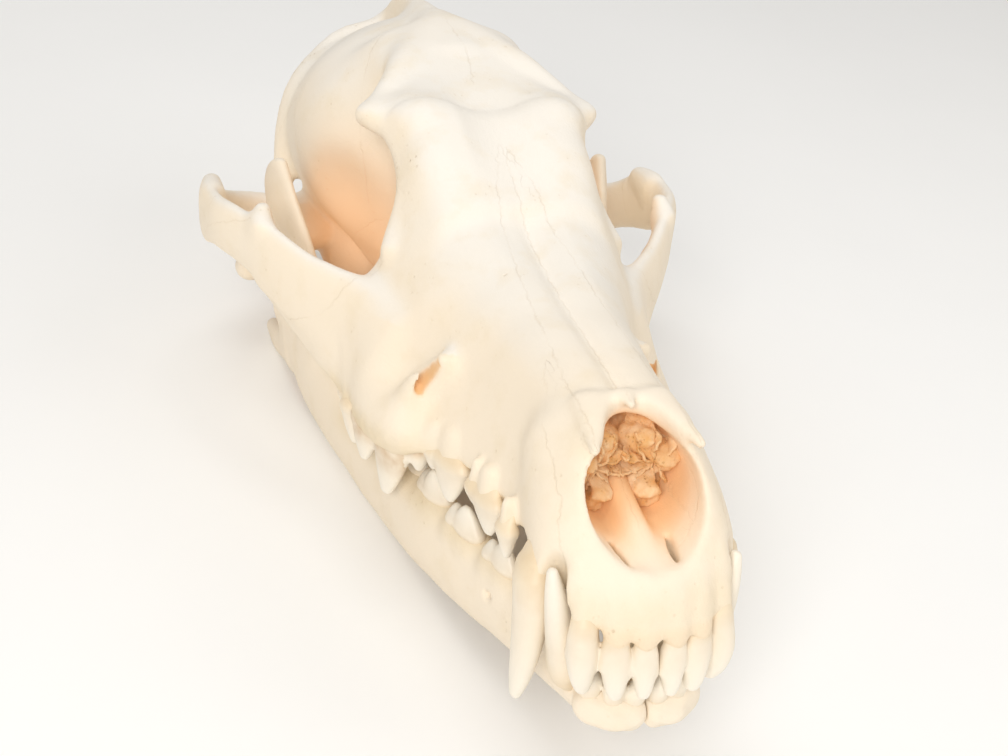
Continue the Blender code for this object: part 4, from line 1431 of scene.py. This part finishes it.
    def build(self, material: bpy.types.Material) -> bpy.types.Mesh:
        """Joins both sides' plates."""
        plates, rolls = self.bundle(material), self.mass()
        solid = bmesh.new()
        for half in (plates, rolls, mirror(plates, "right_plates"), mirror(rolls, "right_rolls")):
            solid.from_mesh(half)
        mesh = bpy.data.meshes.new("nasal_scrolls")
        solid.to_mesh(mesh)
        solid.free()
        mesh.shade_smooth()
        return mesh


@dataclass
class Studio:
    """The floor, the lights and the camera."""

    camera_at: tuple[float, float, float] = (-0.085214, -0.248527, 0.189823)
    camera_turn: tuple[float, float, float] = (56.885236, -6.718448, -15.817097)
    lens: float = 53.5986
    sensor: float = 36.0
    clip_start: float = 0.01
    aim: tuple[float, float, float] = (0, -0.01, 0.04)
    floor_half: float = 1.6
    floor_cells: int = 8
    sky: Colour = (1.0, 0.985, 0.96, 1)
    sky_strength: float = 0.46

    def camera(self) -> None:
        """Sets the camera where the photograph was taken from."""
        data = bpy.data.cameras.new("camera")
        data.lens = self.lens
        data.sensor_width = self.sensor
        data.clip_start = self.clip_start
        obj = bpy.data.objects.new("camera", data)
        obj.location = self.camera_at
        obj.rotation_euler = [math.radians(angle) for angle in self.camera_turn]
        bpy.context.scene.collection.objects.link(obj)
        bpy.context.scene.camera = obj

    def light(
        self, name: str, at: Sequence[float], size: float, watts: float, tint: Sequence[float]
    ) -> None:
        """Adds a soft square light that faces the skull.

        Args:
            name: its name.
            at: where it hangs.
            size: its side.
            watts: its power.
            tint: its colour.
        """
        data = bpy.data.lights.new(name, "AREA")
        data.size = size
        data.energy = watts
        data.color = tint
        obj = bpy.data.objects.new(name, data)
        obj.location = at
        towards = Vector(self.aim) - obj.location
        obj.rotation_euler = towards.to_track_quat("-Z", "Y").to_euler()
        bpy.context.scene.collection.objects.link(obj)

    def build(self) -> None:
        """Makes the floor, the sky's glow, the lights and the camera."""
        solid = bmesh.new()
        cells = self.floor_cells
        bmesh.ops.create_grid(solid, x_segments=cells, y_segments=cells, size=self.floor_half)
        mesh = bpy.data.meshes.new("floor")
        solid.to_mesh(mesh)
        solid.free()
        mesh.materials.append(FloorFinish("pale_floor").build())
        floor = bpy.data.objects.new("floor", mesh)
        bpy.context.scene.collection.objects.link(floor)
        world = bpy.data.worlds.new("studio")
        world.use_nodes = True
        glow = world.node_tree.nodes["Background"].inputs
        glow["Color"].default_value = self.sky
        glow["Strength"].default_value = self.sky_strength
        bpy.context.scene.world = world
        self.light("key", (-0.38, -0.62, 0.5), 0.35, 3.5, (1.0, 0.975, 0.94))
        self.light("fill", (0.5, -0.3, 0.45), 0.5, 1.1, (1.0, 0.98, 0.95))
        self.light("top", (-0.1, 0.15, 0.8), 0.5, 1.7, (1.0, 0.99, 0.97))
        self.camera()
        bpy.context.scene.view_settings.view_transform = "Standard"


def main() -> None:
    """Builds the studio and every piece of the skull."""
    logging.basicConfig(level=logging.INFO, format="%(name)s %(message)s")
    Studio().build()
    bone = BoneFinish("bleached_bone").build()
    enamel = EnamelFinish("tooth_enamel").build()
    scroll = ScrollFinish("scroll_bone_painted_shade").build()
    Piece("cranium_surface", "cranium", "cranium_bone").publish(Cranium().build(), bone)
    uppers = ToothRow(UPPER_CUSPS).build("left_upper_teeth")
    other_uppers = mirror(uppers, "right_upper_teeth")
    Piece("left_upper_teeth", "cranium", "cranium_bone").publish(uppers, enamel)
    Piece("right_upper_teeth", "cranium", "cranium_bone").publish(other_uppers, enamel)
    Piece("nasal_scrolls", "cranium", "cranium_bone").publish(Scrolls().build(scroll), scroll)
    jaw, lowers = LowerJaw().build()
    other_jaw, other_lowers = mirror(jaw, "right_jaw"), mirror(lowers, "right_lower_teeth")
    Piece("left_jaw_surface", "mandible_left", "left_jaw_bone").publish(jaw, bone)
    Piece("left_lower_teeth", "mandible_left", "left_jaw_bone").publish(lowers, enamel)
    Piece("right_jaw_surface", "mandible_right", "right_jaw_bone").publish(other_jaw, bone)
    Piece("right_lower_teeth", "mandible_right", "right_jaw_bone").publish(other_lowers, enamel)


if __name__ == "__main__":
    main()
